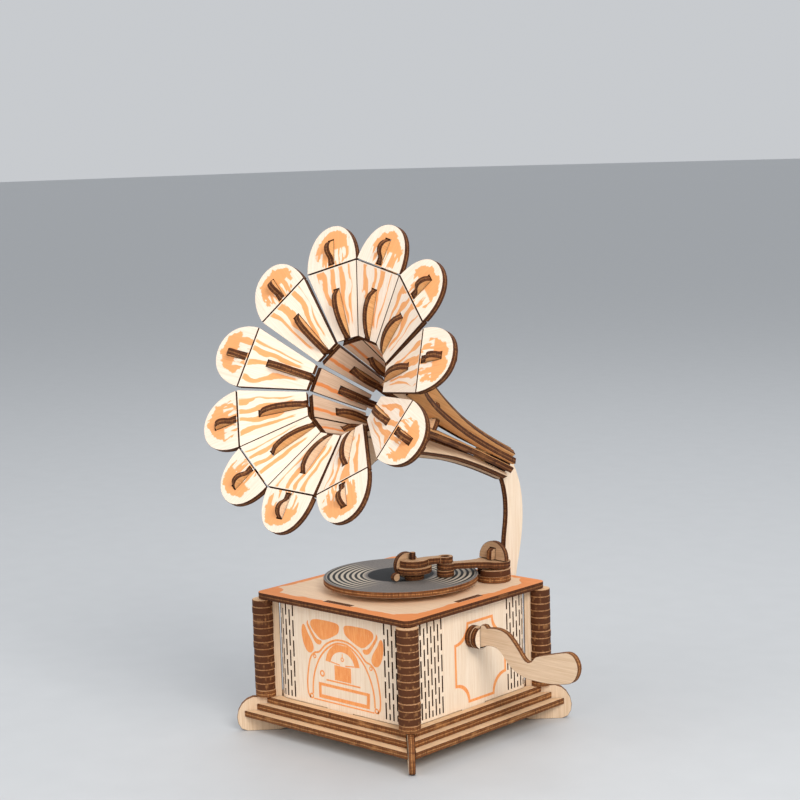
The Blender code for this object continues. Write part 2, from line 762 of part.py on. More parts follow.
def slot_box(start, end, front_room, back_room):
    """Cutter box along a front line, wide enough for one fin."""
    way = (end - start).normalized()
    out = Vector((-way.y, way.x))
    middle = (start + end) / 2 + out * (front_room - back_room) / 2
    mesh = box_mesh(((end - start).length, SLOT, front_room + back_room))
    mesh.transform(Matrix((
        (way.x, 0, out.x, middle.x),
        (0, 1, 0, 0),
        (way.y, 0, out.y, middle.y),
        (0, 0, 0, 1),
    )))
    fix_normals(mesh)
    return mesh


MIDDLE_SHARE = 0.70
LOBE_SHARE = 0.68
FUNNEL_SHARE = 0.52


def petals(group, cutters):
    middle_way = FRONT_FOLD - FRONT_THROAT
    for number, degrees in enumerate(PETAL_ANGLES, 1):
        place = horn_matrix(degrees)
        mesh = bent_plate(petal_rows())
        mesh.transform(place)
        petal = add_object(f"petal_{number:02d}", mesh, (0.90, 0.72, 0.50), group)
        start = FRONT_THROAT - middle_way * 0.15
        middle = slot_box(start, FRONT_THROAT + middle_way * MIDDLE_SHARE, 3 * MM, 6 * MM)
        lobe_start = FRONT_FOLD + LOBE_WAY * 0.9 * MM
        lobe_end = FRONT_FOLD + LOBE_WAY * LOBE_LENGTH * LOBE_SHARE
        lobe = slot_box(lobe_start, lobe_end, 3 * MM, 6 * MM)
        middle.transform(place)
        lobe.transform(place)
        boolean(petal, [middle, lobe], "DIFFERENCE", cutters)
        set_origin(petal, place @ Vector((FOLD_RADIUS, 0, 0)))


def leaf(share):
    """Rise of a fin above the sheet from the outer end of its slot: tallest at a third, then it tapers."""
    return math.sin(math.pi * share ** 0.72) ** 0.75


def leaf_on_stem(share):
    """Rise of a lobe's leaf, which stands on a low stem near the fold."""
    if share > 0.74:
        return 0.10
    return max(0.10, math.sin(math.pi * share / 0.74) ** 0.6)


def fin_inner_edge():
    """Inner edge of a fin from lobe tip to neck, with the leaves that stand in the slots."""
    behind = PLY + 1.2 * GAP
    points = []

    def along(start, way, out, begin, finish, rise, count, shape=leaf, ends=(True, True)):
        for step in range(count + 1):
            share = step / count
            if share == 0 and not ends[0]:
                continue
            if share == 1 and not ends[1]:
                continue
            spot = start + way * (begin + (finish - begin) * share)
            points.append(spot + out * (rise * shape(share) if 0 < share < 1 else 0.0))

    lobe_out = Vector((-LOBE_WAY.y, LOBE_WAY.x))
    tip = FRONT_FOLD + LOBE_WAY * (LOBE_LENGTH * 0.9)
    points.append(tip - lobe_out * behind)
    lobe_end = LOBE_LENGTH * LOBE_SHARE - 0.4 * MM
    lobe_start = 1.3 * MM
    points.append(FRONT_FOLD + LOBE_WAY * lobe_end - lobe_out * behind)
    along(FRONT_FOLD, LOBE_WAY, lobe_out, lobe_end, lobe_start, 3.1 * MM, 10, leaf_on_stem)
    points.append(FRONT_FOLD + LOBE_WAY * lobe_start - lobe_out * behind)
    corner = corner_offset(FRONT_THROAT, FRONT_FOLD, FRONT_FOLD + LOBE_WAY, behind)
    points.append(corner)
    middle_way = (FRONT_FOLD - FRONT_THROAT).normalized()
    middle_out = Vector((-middle_way.y, middle_way.x))
    length = (FRONT_FOLD - FRONT_THROAT).length
    end = length * MIDDLE_SHARE - 0.4 * MM
    points.append(FRONT_THROAT + middle_way * end - middle_out * behind)
    along(FRONT_THROAT, middle_way, middle_out, end, 0.4 * MM, 3.6 * MM, 10)
    funnel_way = (FRONT_THROAT - FRONT_REAR).normalized()
    funnel_out = Vector((-funnel_way.y, funnel_way.x))
    span = (FRONT_THROAT - FRONT_REAR).length
    outside = PLY + 2.4 * GAP
    points.append(FRONT_THROAT + Vector((0.9 * MM, -2.05 * MM)))
    points.append(FRONT_REAR + funnel_way * (span - 3.4 * MM) - funnel_out * outside)
    begin = span * FUNNEL_SHARE - 0.5 * MM
    points.append(FRONT_REAR + funnel_way * begin - funnel_out * outside)
    along(FRONT_REAR, funnel_way, funnel_out, begin, -1.0 * MM, 2.6 * MM, 8, leaf, (True, False))
    return points


def ring_notch():
    """The ring slot in a fin, cut from its inner edge."""
    half = SLOT / 2
    return [
        Vector((9.4 * MM, -RING_BACK + half)),
        Vector((11.6 * MM, -RING_BACK + half)),
        Vector((11.6 * MM, -RING_BACK - half)),
        Vector((9.0 * MM, -RING_BACK - half)),
    ]


def fin_outer_edge():
    """Outer trumpet curve of a fin from neck to lobe tip, radius and distance behind the fold."""
    curve = [
        (7.7, 118.7), (7.9, 110), (8.4, 100), (9.3, 90), (10.7, 80), (12.9, 70),
        (15.4, 60), (18.4, 50), (22.2, 40), (26.8, 30.5), (32.4, 22.4), (39.2, 15.8),
        (46.6, 11.2), (54.0, 8.2), (60.6, 6.0), (63.6, 3.6),
    ]
    return [Vector((r * MM, -s * MM)) for r, s in curve_through(curve)]


def fin_outline():
    points = fin_inner_edge()
    points.append(Vector((11.2 * MM, -FUNNEL_BACK - 2.5 * MM)))
    points.extend(ring_notch())
    points.append(Vector((5.6 * MM, -92 * MM)))
    points.append(Vector((5.6 * MM, -NECK_END)))
    points.extend(fin_outer_edge())
    return [(point.x, point.y) for point in points]


def fins(group):
    swap = Matrix(((1, 0, 0, 0), (0, 0, 1, 0), (0, 1, 0, 0), (0, 0, 0, 1)))
    for number, degrees in enumerate(PETAL_ANGLES, 1):
        mesh = flat_mesh(fin_outline(), PLY)
        mesh.transform(Matrix.Translation((0, 0, -PLY / 2)))
        mesh.transform(swap)
        mesh.transform(horn_matrix(degrees))
        fix_normals(mesh)
        fin = add_object(f"fin_{number:02d}", mesh, (0.62, 0.40, 0.20), group)
        set_origin(fin, horn_matrix(degrees) @ Vector((FOLD_RADIUS, 0, 0)))


def throat_funnel(group, cutters):
    """Eleven-sided funnel behind the throat, slit from its rear edge for the fins."""
    count = len(PETAL_ANGLES)
    seams = []
    for index in range(count):
        here = PETAL_ANGLES[index]
        after = PETAL_ANGLES[(index + 1) % count] + (360 if index == count - 1 else 0)
        seams.append(math.radians((here + after) / 2))
    way = (FRONT_THROAT - FRONT_REAR).normalized()
    out = Vector((way.y, -way.x)) * PLY
    front = FRONT_THROAT - way * (3.1 * MM)
    ends = [FRONT_REAR, front, front + out, FRONT_REAR + out]
    widen = 1 / math.cos(math.pi / count)
    work = bmesh.new()
    rings = []
    for point in ends:
        ring = []
        for angle in seams:
            spot = Vector((point.x * widen, 0, 0))
            turned = Matrix.Rotation(angle, 4, "Z") @ spot
            ring.append(work.verts.new((turned.x, turned.y, point.y)))
        rings.append(ring)
    for index in range(4):
        low, high = rings[index], rings[(index + 1) % 4]
        for step in range(count):
            after = (step + 1) % count
            work.faces.new((low[step], low[after], high[after], high[step]))
    bmesh.ops.recalc_face_normals(work, faces=work.faces)
    mesh = bpy.data.meshes.new("funnel")
    work.to_mesh(mesh)
    work.free()
    base = horn_matrix(0)
    mesh.transform(base)
    funnel = add_object("throat_funnel", mesh, (0.80, 0.62, 0.43), group)
    slots = []
    for degrees in PETAL_ANGLES:
        start = FRONT_REAR - way * (3 * MM)
        end = FRONT_REAR + way * ((FRONT_THROAT - FRONT_REAR).length * FUNNEL_SHARE)
        slot = slot_box(start, end, 3 * MM, 6 * MM)
        slot.transform(horn_matrix(degrees))
        slots.append(slot)
    boolean(funnel, slots, "DIFFERENCE", cutters)
    set_origin(funnel, base @ Vector((0, 0, -THROAT_BACK)))


def neck_ring(group, cutters):
    mesh = flat_mesh(circle(13.4 * MM, 44), PLY, [circle(6.6 * MM, 33)])
    mesh.transform(Matrix.Translation((0, 0, -RING_BACK - PLY / 2)))
    mesh.transform(horn_matrix(0))
    fix_normals(mesh)
    ring = add_object("neck_ring", mesh, (0.45, 0.27, 0.14), group)
    notches = []
    for degrees in PETAL_ANGLES:
        notch = box_mesh((6 * MM, SLOT, 8 * MM), (11.3 * MM + 3 * MM, 0, -RING_BACK))
        notch.transform(horn_matrix(degrees))
        notches.append(notch)
    boolean(ring, notches, "DIFFERENCE", cutters)
    set_origin(ring, horn_matrix(0) @ Vector((0, 0, -RING_BACK)))


def neck_core(group, cutters):
    place = horn_matrix(0)
    mesh = lathe_mesh([(4.9 * MM, -NECK_END), (4.9 * MM, -104 * MM)], 22)
    mesh.transform(place)
    core = add_object("neck_core", mesh, (0.50, 0.31, 0.16), group)
    slot = box_mesh((6.6 * MM, SLOT, 16 * MM), (0, 0, -(NECK_END + 0.6 * MM)))
    slot.transform(place)
    boolean(core, [slot], "DIFFERENCE", cutters)
    set_origin(core, place @ Vector((0, 0, -NECK_END)))


def horn_arm(group):
    """Curved elbow plate from the back of the case up to the horn's neck; y and height."""
    axis = Vector((-math.cos(HORN_TILT), math.sin(HORN_TILT)))
    perp = Vector((math.sin(HORN_TILT), math.cos(HORN_TILT)))
    centre = Vector((HORN_CENTRE.y, HORN_CENTRE.z))
    neck = centre - axis * (NECK_END + GAP)
    inside = centre - axis * (NECK_END - 6.6 * MM)
    outer = [
        (46.4, 44.0), (47.8, 52.0), (48.3, 62.0), (49.9, 68.4), (51.7, 75.0), (53.1, 82.0),
        (53.7, 89.0), (53.4, 96.6), (52.1, 103.0), (49.8, 108.8), (47.4, 113.4),
    ]
    inner = curve_through([
        (41.6, 103.4), (42.8, 98.0), (43.1, 92.0), (42.6, 86.4), (41.4, 80.0), (40.9, 75.0),
    ])
    foot = [(40.9, 56.0), (37.9, 56.0), (37.9, 50.0), (40.9, 50.0), (41.4, 44.0)]
    points = [(y * MM, z * MM) for y, z in curve_through(outer)]
    for spot, shift in ((neck, 5.3), (neck, 3.0), (inside, 3.0), (inside, -3.0), (neck, -3.0), (neck, -5.3)):
        place = spot + perp * (shift * MM)
        points.append((place.x, place.y))
    points.extend((y * MM, z * MM) for y, z in inner + foot)
    centre_line = Vector((HORN_CENTRE.x, 0, 0))
    arm = standing_plate("horn_arm", points, centre_line, Vector((0, 1, 0)), (0.88, 0.74, 0.54), group)
    set_origin(arm, (HORN_CENTRE.x, 44 * MM, TOP_Z))


# ---------------------------------------------------------------- build

def centre_footprint(group):
    for thing in group.objects:
        thing.location += CASE_AT


def build():
    clear_scene()
    group = new_collection("wooden_gramophone")
    cutters = new_collection("cutters")
    base_plates(group)
    corner_ribs(group)
    columns(group, cutters)
    wall_wrap(group, cutters)
    top_plate(group)
    record_group(group)
    tower(group, cutters)
    tonearm(group, cutters)
    crank_group(group, cutters)
    throat_funnel(group, cutters)
    neck_ring(group, cutters)
    neck_core(group, cutters)
    horn_arm(group)
    fins(group)
    petals(group, cutters)
    centre_footprint(group)


build()
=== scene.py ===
"""Looks of the plywood gramophone: plates with burnt edges, orange prints, floor, light and camera."""
import json
import math
import random

import bmesh
import bpy
from mathutils import Matrix, Vector

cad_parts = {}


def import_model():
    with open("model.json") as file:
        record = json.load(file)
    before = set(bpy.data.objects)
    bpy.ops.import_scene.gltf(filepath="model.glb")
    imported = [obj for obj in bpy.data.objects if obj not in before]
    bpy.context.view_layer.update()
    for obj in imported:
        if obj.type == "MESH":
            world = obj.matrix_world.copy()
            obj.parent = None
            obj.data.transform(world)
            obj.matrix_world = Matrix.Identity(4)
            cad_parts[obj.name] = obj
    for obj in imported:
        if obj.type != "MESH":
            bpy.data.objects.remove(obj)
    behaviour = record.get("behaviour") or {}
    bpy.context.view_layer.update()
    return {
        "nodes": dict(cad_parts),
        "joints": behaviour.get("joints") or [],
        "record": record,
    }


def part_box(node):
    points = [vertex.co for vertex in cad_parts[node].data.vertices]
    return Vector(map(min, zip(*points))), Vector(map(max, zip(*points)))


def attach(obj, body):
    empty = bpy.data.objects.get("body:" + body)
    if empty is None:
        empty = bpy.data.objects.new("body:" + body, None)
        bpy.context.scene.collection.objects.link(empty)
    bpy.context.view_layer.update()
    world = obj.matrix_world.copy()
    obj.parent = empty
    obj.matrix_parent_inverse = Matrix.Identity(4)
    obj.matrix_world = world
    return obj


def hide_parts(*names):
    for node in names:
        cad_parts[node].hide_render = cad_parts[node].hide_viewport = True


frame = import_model()

MM = 0.001
PLY = 2.7 * MM
RIM = 0.16 * MM
DISC_RIM = 0.2 * MM
SHARP = math.radians(32)
BEVELLED = math.radians(40)
UP = Vector((0, 0, 1))
EAST = Vector((1, 0, 0))
FRONT = Vector((0, -1, 0))

plate_low, plate_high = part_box("top_plate")
MIDDLE = (plate_low + plate_high) / 2
MIDDLE.z = 0.0


# ---------------------------------------------------------------- materials

class Shader:
    """Builds one node material. Plan coordinates are the piece's own, in millimetres."""

    def __init__(self, name):
        self.material = bpy.data.materials.new(name)
        self.material.use_nodes = True
        self.tree = self.material.node_tree
        self.surface = self.tree.nodes["Principled BSDF"]

    def add(self, kind, inputs=None, **settings):
        node = self.tree.nodes.new(kind)
        for key, value in settings.items():
            setattr(node, key, value)
        for key, value in (inputs or {}).items():
            self.feed(node.inputs[key], value)
        return node

    def feed(self, socket, value):
        if isinstance(value, bpy.types.NodeSocket):
            self.tree.links.new(value, socket)
        else:
            socket.default_value = value

    def calc(self, operation, a, b=0.0, clamp=False):
        node = self.add("ShaderNodeMath", {0: a, 1: b}, operation=operation, use_clamp=clamp)
        return node.outputs[0]

    def plan(self):
        """The two plan coordinates as sockets."""
        chart = self.add("ShaderNodeUVMap", uv_map="plan")
        split = self.add("ShaderNodeSeparateXYZ", {0: chart.outputs[0]})
        return split.outputs[0], split.outputs[1]

    def seed(self):
        info = self.add("ShaderNodeObjectInfo")
        return self.calc("MULTIPLY", info.outputs["Random"], 40.0)

    def noise(self, u, v, w, across=1.0, along=1.0, detail=4.0, rough=0.5):
        """Fractal noise stretched along u and v by their frequencies per millimetre."""
        place = self.add("ShaderNodeCombineXYZ", {
            0: self.calc("MULTIPLY", u, along), 1: self.calc("MULTIPLY", v, across), 2: w})
        node = self.add("ShaderNodeTexNoise", {
            "Vector": place.outputs[0], "Scale": 1.0, "Detail": detail, "Roughness": rough})
        return node.outputs[0]

    def ramp(self, value, stops):
        node = self.add("ShaderNodeValToRGB", {0: value})
        band = node.color_ramp
        while len(band.elements) < len(stops):
            band.elements.new(0.5)
        for element, (place, colour) in zip(band.elements, stops):
            element.position = place
            element.color = (*colour, 1.0)
        return node.outputs[0]

    def step(self, value, low, high):
        """0 below low, 1 above high; the two may be swapped."""
        node = self.add("ShaderNodeMapRange", {"Value": value, "From Min": low, "From Max": high})
        return node.outputs[0]

    def mix(self, share, a, b):
        node = self.add("ShaderNodeMix", data_type="RGBA")
        for index, value in ((0, share), (6, a), (7, b)):
            if isinstance(value, tuple):
                value = (*value, 1.0)
            self.feed(node.inputs[index], value)
        return node.outputs[2]

    def finish(self, colour, height, depth=0.05 * MM, rough=(0.55, 0.72)):
        """Connects colour, bump and a roughness that follows the bump height."""
        self.feed(self.surface.inputs["Base Color"], colour)
        self.feed(self.surface.inputs["Roughness"], self.add("ShaderNodeMapRange", {
            "Value": height, "To Min": rough[1], "To Max": rough[0]}).outputs[0])
        bump = self.add("ShaderNodeBump", {"Height": height, "Distance": depth, "Strength": 1.0})
        self.feed(self.surface.inputs["Normal"], bump.outputs[0])
        self.surface.inputs["Specular IOR Level"].default_value = 0.18
        return self.material


CREAM = (0.88, 0.73, 0.575)
STRAW = (0.79, 0.61, 0.44)
TAN = (0.56, 0.34, 0.18)
INK = (0.82, 0.27, 0.075)
INK_LIGHT = (0.90, 0.385, 0.13)


def birch(name, light, dark, over=None):
    """Birch face veneer: long fibres, pale and dark drifts, short pores; over adds a print."""
    make = Shader(name)
    u, v = make.plan()
    seed = make.seed()
    fibre = make.noise(u, v, seed, across=2.2, along=0.06, detail=5.0, rough=0.6)
    drift = make.noise(u, v, make.calc("ADD", seed, 7.0), across=0.16, along=0.02, detail=2.0)
    pores = make.noise(u, v, make.calc("ADD", seed, 19.0), across=5.5, along=0.30, detail=2.0)
    colour = make.mix(make.step(fibre, 0.36, 0.62), dark, light)
    colour = make.mix(make.calc("MULTIPLY", make.step(drift, 0.45, 0.75), 0.35), colour, dark)
    colour = make.mix(make.calc("MULTIPLY", make.step(pores, 0.66, 0.78), 0.30), colour, TAN)
    if over:
        colour = over(make, u, v, seed, fibre, colour)
    return make.finish(colour, fibre)


def edge(name, deep, warm, bright):
    """Laser-cut edge: charred veneers with a lighter core, striped across by the beam."""
    make = Shader(name)
    u, depth = make.plan()
    seed = make.seed()
    beam = make.noise(u, depth, seed, across=0.25, along=2.6, detail=3.0, rough=0.6)
    patch = make.noise(u, depth, make.calc("ADD", seed, 11.0), across=0.3, along=0.11, detail=3.0)
    shift = make.calc("MULTIPLY", make.calc("SUBTRACT", patch, 0.5), 0.30)
    level = make.calc("ADD", make.calc("DIVIDE", depth, PLY / MM), shift)
    layers = make.ramp(level, (
        (0.0, deep), (0.20, warm), (0.30, deep), (0.45, bright), (0.58, warm), (0.68, deep),
        (0.82, warm), (1.0, deep)))
    colour = make.mix(make.step(beam, 0.40, 0.72), layers, deep)
    colour = make.mix(make.calc("MULTIPLY", make.step(patch, 0.58, 0.72), 0.45), colour, bright)
    return make.finish(colour, beam, depth=0.12 * MM, rough=(0.60, 0.80))


def ink_over(make, share, colour, ink, fibre):
    """Printed ink over wood: the fibres show through a little."""
    toned = make.mix(make.step(fibre, 0.30, 0.70), tuple(0.86 * part for part in ink), ink)
    return make.mix(make.calc("MULTIPLY", share, 0.94), colour, toned)


# A petal's panel in millimetres: its length, and its half width at the fold and at the throat.
PANEL_LONG = 29.95
PANEL_WIDE = 13.06
PANEL_NARROW = 5.45
FLAME_RATE = 15.5


def flame_print(make, u, v, seed, fibre, colour):
    """Long broken flames beside the slot; u is negative in the panel and 0 at the fold."""
    way = make.calc("ADD", make.calc("DIVIDE", u, PANEL_LONG), 1.0)
    half = make.calc("ADD", PANEL_NARROW, make.calc("MULTIPLY", way, PANEL_WIDE - PANEL_NARROW))
    side = make.calc("DIVIDE", v, half)
    wave = make.noise(u, side, seed, across=1.3, along=0.065, detail=1.0)
    fine = make.noise(u, side, make.calc("ADD", seed, 3.0), across=5.0, along=0.22, detail=2.0)
    bent = make.calc("ADD", side, make.calc("MULTIPLY", make.calc("SUBTRACT", wave, 0.5), 0.9))
    stripes = make.calc("SINE", make.calc("MULTIPLY", bent, FLAME_RATE))
    stripes = make.calc("ADD", stripes, make.calc("MULTIPLY", make.calc("SUBTRACT", fine, 0.5), 1.7))
    inked = make.step(stripes, -0.02, 0.12)
    sway = make.calc("MULTIPLY", make.calc("SUBTRACT", wave, 0.5), 0.5)
    reach = make.calc("ABSOLUTE", make.calc("ADD", side, sway))
    inside = make.step(reach, 0.72, 0.67)
    ends = make.calc("MULTIPLY", make.step(way, 0.16, 0.22), make.step(way, 0.985, 0.965))
    share = make.calc("MULTIPLY", make.calc("MULTIPLY", inked, inside), ends, clamp=True)
    return ink_over(make, share, colour, INK_LIGHT, fibre)


# The lobe's patch in millimetres: its middle beyond the fold, and its half length and width.
BLOB_U = 7.2
BLOB_V = -1.2
BLOB_LONG = 8.2
BLOB_WIDE = 8.8


def blob_print(make, u, v, seed, fibre, colour):
    """A ragged patch round the lobe's slot with pale licks near the fold."""
    ragged = make.noise(u, v, seed, across=0.20, along=0.20, detail=3.0, rough=0.6)
    wobble = make.calc("MULTIPLY", make.calc("SUBTRACT", ragged, 0.5), 6.5)
    along = make.calc("DIVIDE", make.calc("SUBTRACT", u, BLOB_U), BLOB_LONG)
    across = make.calc("DIVIDE", make.calc("SUBTRACT", v, BLOB_V), BLOB_WIDE)
    spread = make.calc("ADD", make.calc("POWER", along, 2.0), make.calc("POWER", across, 2.0))
    edge_at = make.calc("ADD", make.calc("SQRT", spread), make.calc("DIVIDE", wobble, 8.0))
    patch = make.step(edge_at, 1.0, 0.96)
    lick = make.noise(u, v, make.calc("ADD", seed, 5.0), across=0.55, along=0.12, detail=2.0)
    near = make.step(u, 8.5, 5.0)
    pale = make.calc("MULTIPLY", make.step(lick, 0.50, 0.53), make.step(near, 0.30, 0.45))
    share = make.calc("SUBTRACT", patch, pale, clamp=True)
    return ink_over(make, share, colour, INK_LIGHT, fibre)


STRIPE_OFF = 1.3
STRIPE_HALF = 0.75
STRIPE_SOFT = 0.1


def stripe_print(make, u, v, seed, fibre, colour):
    """One printed stripe along each throat panel."""
    wobble = make.noise(u, v, seed, across=0.1, along=0.25, detail=2.0)
    sway = make.calc("MULTIPLY", make.calc("SUBTRACT", wobble, 0.5), 1.6)
    away = make.calc("ABSOLUTE", make.calc("SUBTRACT", v, make.calc("ADD", STRIPE_OFF, sway)))
    inside = make.step(away, STRIPE_HALF + STRIPE_SOFT, STRIPE_HALF - STRIPE_SOFT)
    share = make.calc("MULTIPLY", inside, make.step(u, 5.0, 6.0))
    return ink_over(make, share, colour, INK, fibre)


# The top plate's print in millimetres from the plate's middle.
BORDER_HALF = 41.1
BORDER_SHIFT_X = 1.4
BORDER_SHIFT_Y = 1.6
BORDER_CORNER = 46.0
CORNER_R = 13.0
INK_SOFT = 0.2


def border_print(make, u, v, seed, fibre, colour):
    """Wavy printed frame of the top plate, wider in its corners."""
    waves = make.noise(u, v, 2.0, across=0.11, along=0.11, detail=2.0)
    wobble = make.calc("MULTIPLY", make.calc("SUBTRACT", waves, 0.5), 5.0)
    side_x = make.calc("ABSOLUTE", make.calc("ADD", u, BORDER_SHIFT_X))
    side_y = make.calc("ABSOLUTE", make.calc("SUBTRACT", v, BORDER_SHIFT_Y))
    reach = make.calc("ADD", make.calc("MAXIMUM", side_x, side_y), wobble)
    sides = make.step(reach, BORDER_HALF - INK_SOFT, BORDER_HALF + INK_SOFT)
    gap_x = make.calc("SUBTRACT", BORDER_CORNER, side_x)
    gap_y = make.calc("SUBTRACT", BORDER_CORNER, side_y)
    squares = make.calc("ADD", make.calc("POWER", gap_x, 2.0), make.calc("POWER", gap_y, 2.0))
    away = make.calc("ADD", make.calc("SQRT", squares), make.calc("MULTIPLY", wobble, -0.9))
    corner = make.step(away, CORNER_R + INK_SOFT, CORNER_R - INK_SOFT)
    share = make.calc("MAXIMUM", sides, corner)
    return ink_over(make, share, colour, INK, fibre)


# The record's radius in millimetres; the print's other sizes are shares of it.
RECORD_R = 33.9
LABEL_SHARE = 0.43
BAND_OUTER = 0.955
BAND_PITCH = 0.071
GROOVE_RATE = 210.0
SHEEN_TURN = math.radians(47)


def groove_print(make, u, v, seed, fibre, colour):
    """Printed record: grey grooves, bright bands to two sides and a black label."""
    squares = make.calc("ADD", make.calc("POWER", u, 2.0), make.calc("POWER", v, 2.0))
    radius = make.calc("SQRT", squares)
    share = make.calc("DIVIDE", radius, RECORD_R)
    turn = make.calc("ARCTAN2", v, u)
    fine = make.calc("SINE", make.calc("MULTIPLY", share, GROOVE_RATE))
    grit = make.noise(u, v, 3.0, across=1.4, along=1.4, detail=3.0)
    grey = make.mix(make.step(fine, -1.0, 1.0), (0.115, 0.105, 0.10), (0.215, 0.195, 0.18))
    grey = make.mix(make.calc("MULTIPLY", make.step(grit, 0.45, 0.7), 0.5), grey, (0.28, 0.245, 0.215))
    inwards = make.calc("SUBTRACT", share, BAND_OUTER)
    band = make.calc("SINE", make.calc("MULTIPLY", inwards, 2 * math.pi / BAND_PITCH))
    bands = make.mix(make.step(band, -0.25, 0.25), (0.020, 0.020, 0.020), (0.52, 0.45, 0.36))
    lean = make.calc("ABSOLUTE", make.calc("COSINE", make.calc("SUBTRACT", turn, SHEEN_TURN)))
    fade = make.calc("MULTIPLY", make.step(lean, 0.50, 0.80), make.step(share, 0.45, 0.50))
    fade = make.calc("MULTIPLY", fade, make.step(share, BAND_OUTER + 0.01, BAND_OUTER))
    colour = make.mix(fade, grey, bands)
    label = make.step(share, LABEL_SHARE + 0.004, LABEL_SHARE - 0.004)
    return make.mix(label, colour, (0.014, 0.014, 0.015))


def ink_material():
    make = Shader("orange_ink")
    u, v = make.plan()
    seed = make.seed()
    grain = make.noise(u, v, seed, across=1.6, along=0.25, detail=4.0)
    hatch = make.noise(u, v, make.calc("ADD", seed, 4.0), across=4.5, along=4.5, detail=2.0)
    colour = make.mix(make.step(grain, 0.35, 0.70), INK, INK_LIGHT)
    colour = make.mix(make.calc("MULTIPLY", make.step(hatch, 0.58, 0.72), 0.2), colour, CREAM)
    return make.finish(colour, grain, depth=0.03 * MM)


PALE = birch("pale_birch", CREAM, STRAW)
# Honey birch, darker and warmer than the pale birch: painted shade on the corner ribs, the lighter of
# the two fin tones, and the backs of plates.
HONEY_AND_SHADE = birch("honey_and_shade_birch", (0.76, 0.57, 0.40), (0.64, 0.45, 0.29))
STRIP = birch("shaded_birch", (0.80, 0.56, 0.35), (0.66, 0.42, 0.235))
# Painted shade on the horn fins: their shaded faces take this darker, warmer birch; it also colours
# the pivot, spindle, crank shaft and neck core.
TOAST_AND_SHADE = birch("toasted_birch", (0.74, 0.42, 0.185), (0.58, 0.30, 0.115))
# Painted shade: a darker copy of the birch for the tonearm, standing in for the horn's shadow over it.
HORN_SHADOW_BIRCH = birch("horn_shadow_birch", (0.54, 0.34, 0.20), (0.38, 0.22, 0.115))
RIMS = birch("tan_rims", (0.52, 0.28, 0.13), (0.27, 0.12, 0.045))
PANEL = birch("petal_panel", (0.92, 0.79, 0.66), (0.84, 0.68, 0.53), flame_print)
LOBE = birch("petal_lobe", (0.92, 0.79, 0.66), (0.84, 0.68, 0.53), blob_print)
THROAT = birch("throat_panel", (0.74, 0.54, 0.39), (0.60, 0.41, 0.28), stripe_print)
TOP = birch("printed_top", (0.84, 0.62, 0.43), (0.72, 0.50, 0.33), border_print)
GROOVES = birch("printed_record", (0.30, 0.27, 0.23), (0.20, 0.18, 0.16), groove_print)
CHAR = edge("charred_edge", (0.040, 0.012, 0.004), (0.145, 0.045, 0.013), (0.33, 0.135, 0.045))
BROWN = edge("browned_edge", (0.085, 0.027, 0.009), (0.29, 0.105, 0.030), (0.54, 0.26, 0.095))
ORANGE = ink_material()


# ---------------------------------------------------------------- plates

def baked(work, name):
    """The finished mesh of a bmesh."""
    mesh = bpy.data.meshes.new(name)
    work.to_mesh(mesh)
    work.free()
    return mesh


def standing(x_axis, y_axis, z_axis, origin):
    """Matrix that places a thing's own axes and origin there."""
    place = Matrix((x_axis, y_axis, z_axis)).transposed().to_4x4()
    place.translation = origin
    return place


def clean(work):
    """Joins split corners and makes each flat face whole."""
    bmesh.ops.remove_doubles(work, verts=work.verts, dist=0.002 * MM)
    bmesh.ops.dissolve_limit(work, angle_limit=math.radians(0.5), verts=work.verts, edges=work.edges)
    bmesh.ops.recalc_face_normals(work, faces=work.faces)


def node_copy(node):
    """A welded mesh with the CAD node's shape."""
    work = bmesh.new()
    work.from_mesh(frame["nodes"][node].data)
    clean(work)
    mesh = baked(work, node)
    if "custom_normal" in mesh.attributes:
        mesh.attributes.remove(mesh.attributes["custom_normal"])
    return mesh


def sheet(outline, thickness, holes=()):
    """A flat plate in the XY plane, from z = 0 to its thickness."""
    curve = bpy.data.curves.new("outline", "CURVE")
    curve.dimensions = "2D"
    curve.fill_mode = "BOTH"
    curve.extrude = thickness / 2
    for ring in (outline, *holes):
        spline = curve.splines.new("POLY")
        spline.points.add(len(ring) - 1)
        for point, (x, y) in zip(spline.points, ring):
            point.co = (x, y, 0.0, 1.0)
        spline.use_cyclic_u = True
    holder = bpy.data.objects.new("outline", curve)
    bpy.context.scene.collection.objects.link(holder)
    graph = bpy.context.evaluated_depsgraph_get()
    mesh = bpy.data.meshes.new_from_object(holder.evaluated_get(graph))
    bpy.data.objects.remove(holder, do_unlink=True)
    work = bmesh.new()
    work.from_mesh(mesh)
    bmesh.ops.translate(work, verts=work.verts, vec=(0, 0, thickness / 2))
    clean(work)
    work.to_mesh(mesh)
    work.free()
    return mesh


def rod(radius, length, place, turns):
    """Cylinder used as a cutter."""
    work = bmesh.new()
    bmesh.ops.create_cone(work, cap_ends=True, segments=turns, radius1=radius, radius2=radius,
                          depth=length, matrix=place)
    return baked(work, "cutter")


def without(mesh, cutters):
    """The mesh less the cutters' shapes."""
    thing = bpy.data.objects.new("whole", mesh)
    bpy.context.scene.collection.objects.link(thing)
    for cutter_mesh in cutters:
        cutter = bpy.data.objects.new("cutter", cutter_mesh)
        bpy.context.scene.collection.objects.link(cutter)
        step = thing.modifiers.new("cut", "BOOLEAN")
        step.object = cutter
        step.operation = "DIFFERENCE"
        graph = bpy.context.evaluated_depsgraph_get()
        result = bpy.data.meshes.new_from_object(thing.evaluated_get(graph))
        thing.modifiers.clear()
        thing.data = result
        bpy.data.objects.remove(cutter, do_unlink=True)
    result = thing.data
    bpy.data.objects.remove(thing, do_unlink=True)
    return result


def circle(radius, turns, centre=(0.0, 0.0)):
    points = []
    for step in range(turns):
        angle = 2 * math.pi * step / turns
        points.append((centre[0] + radius * math.cos(angle), centre[1] + radius * math.sin(angle)))
    return points


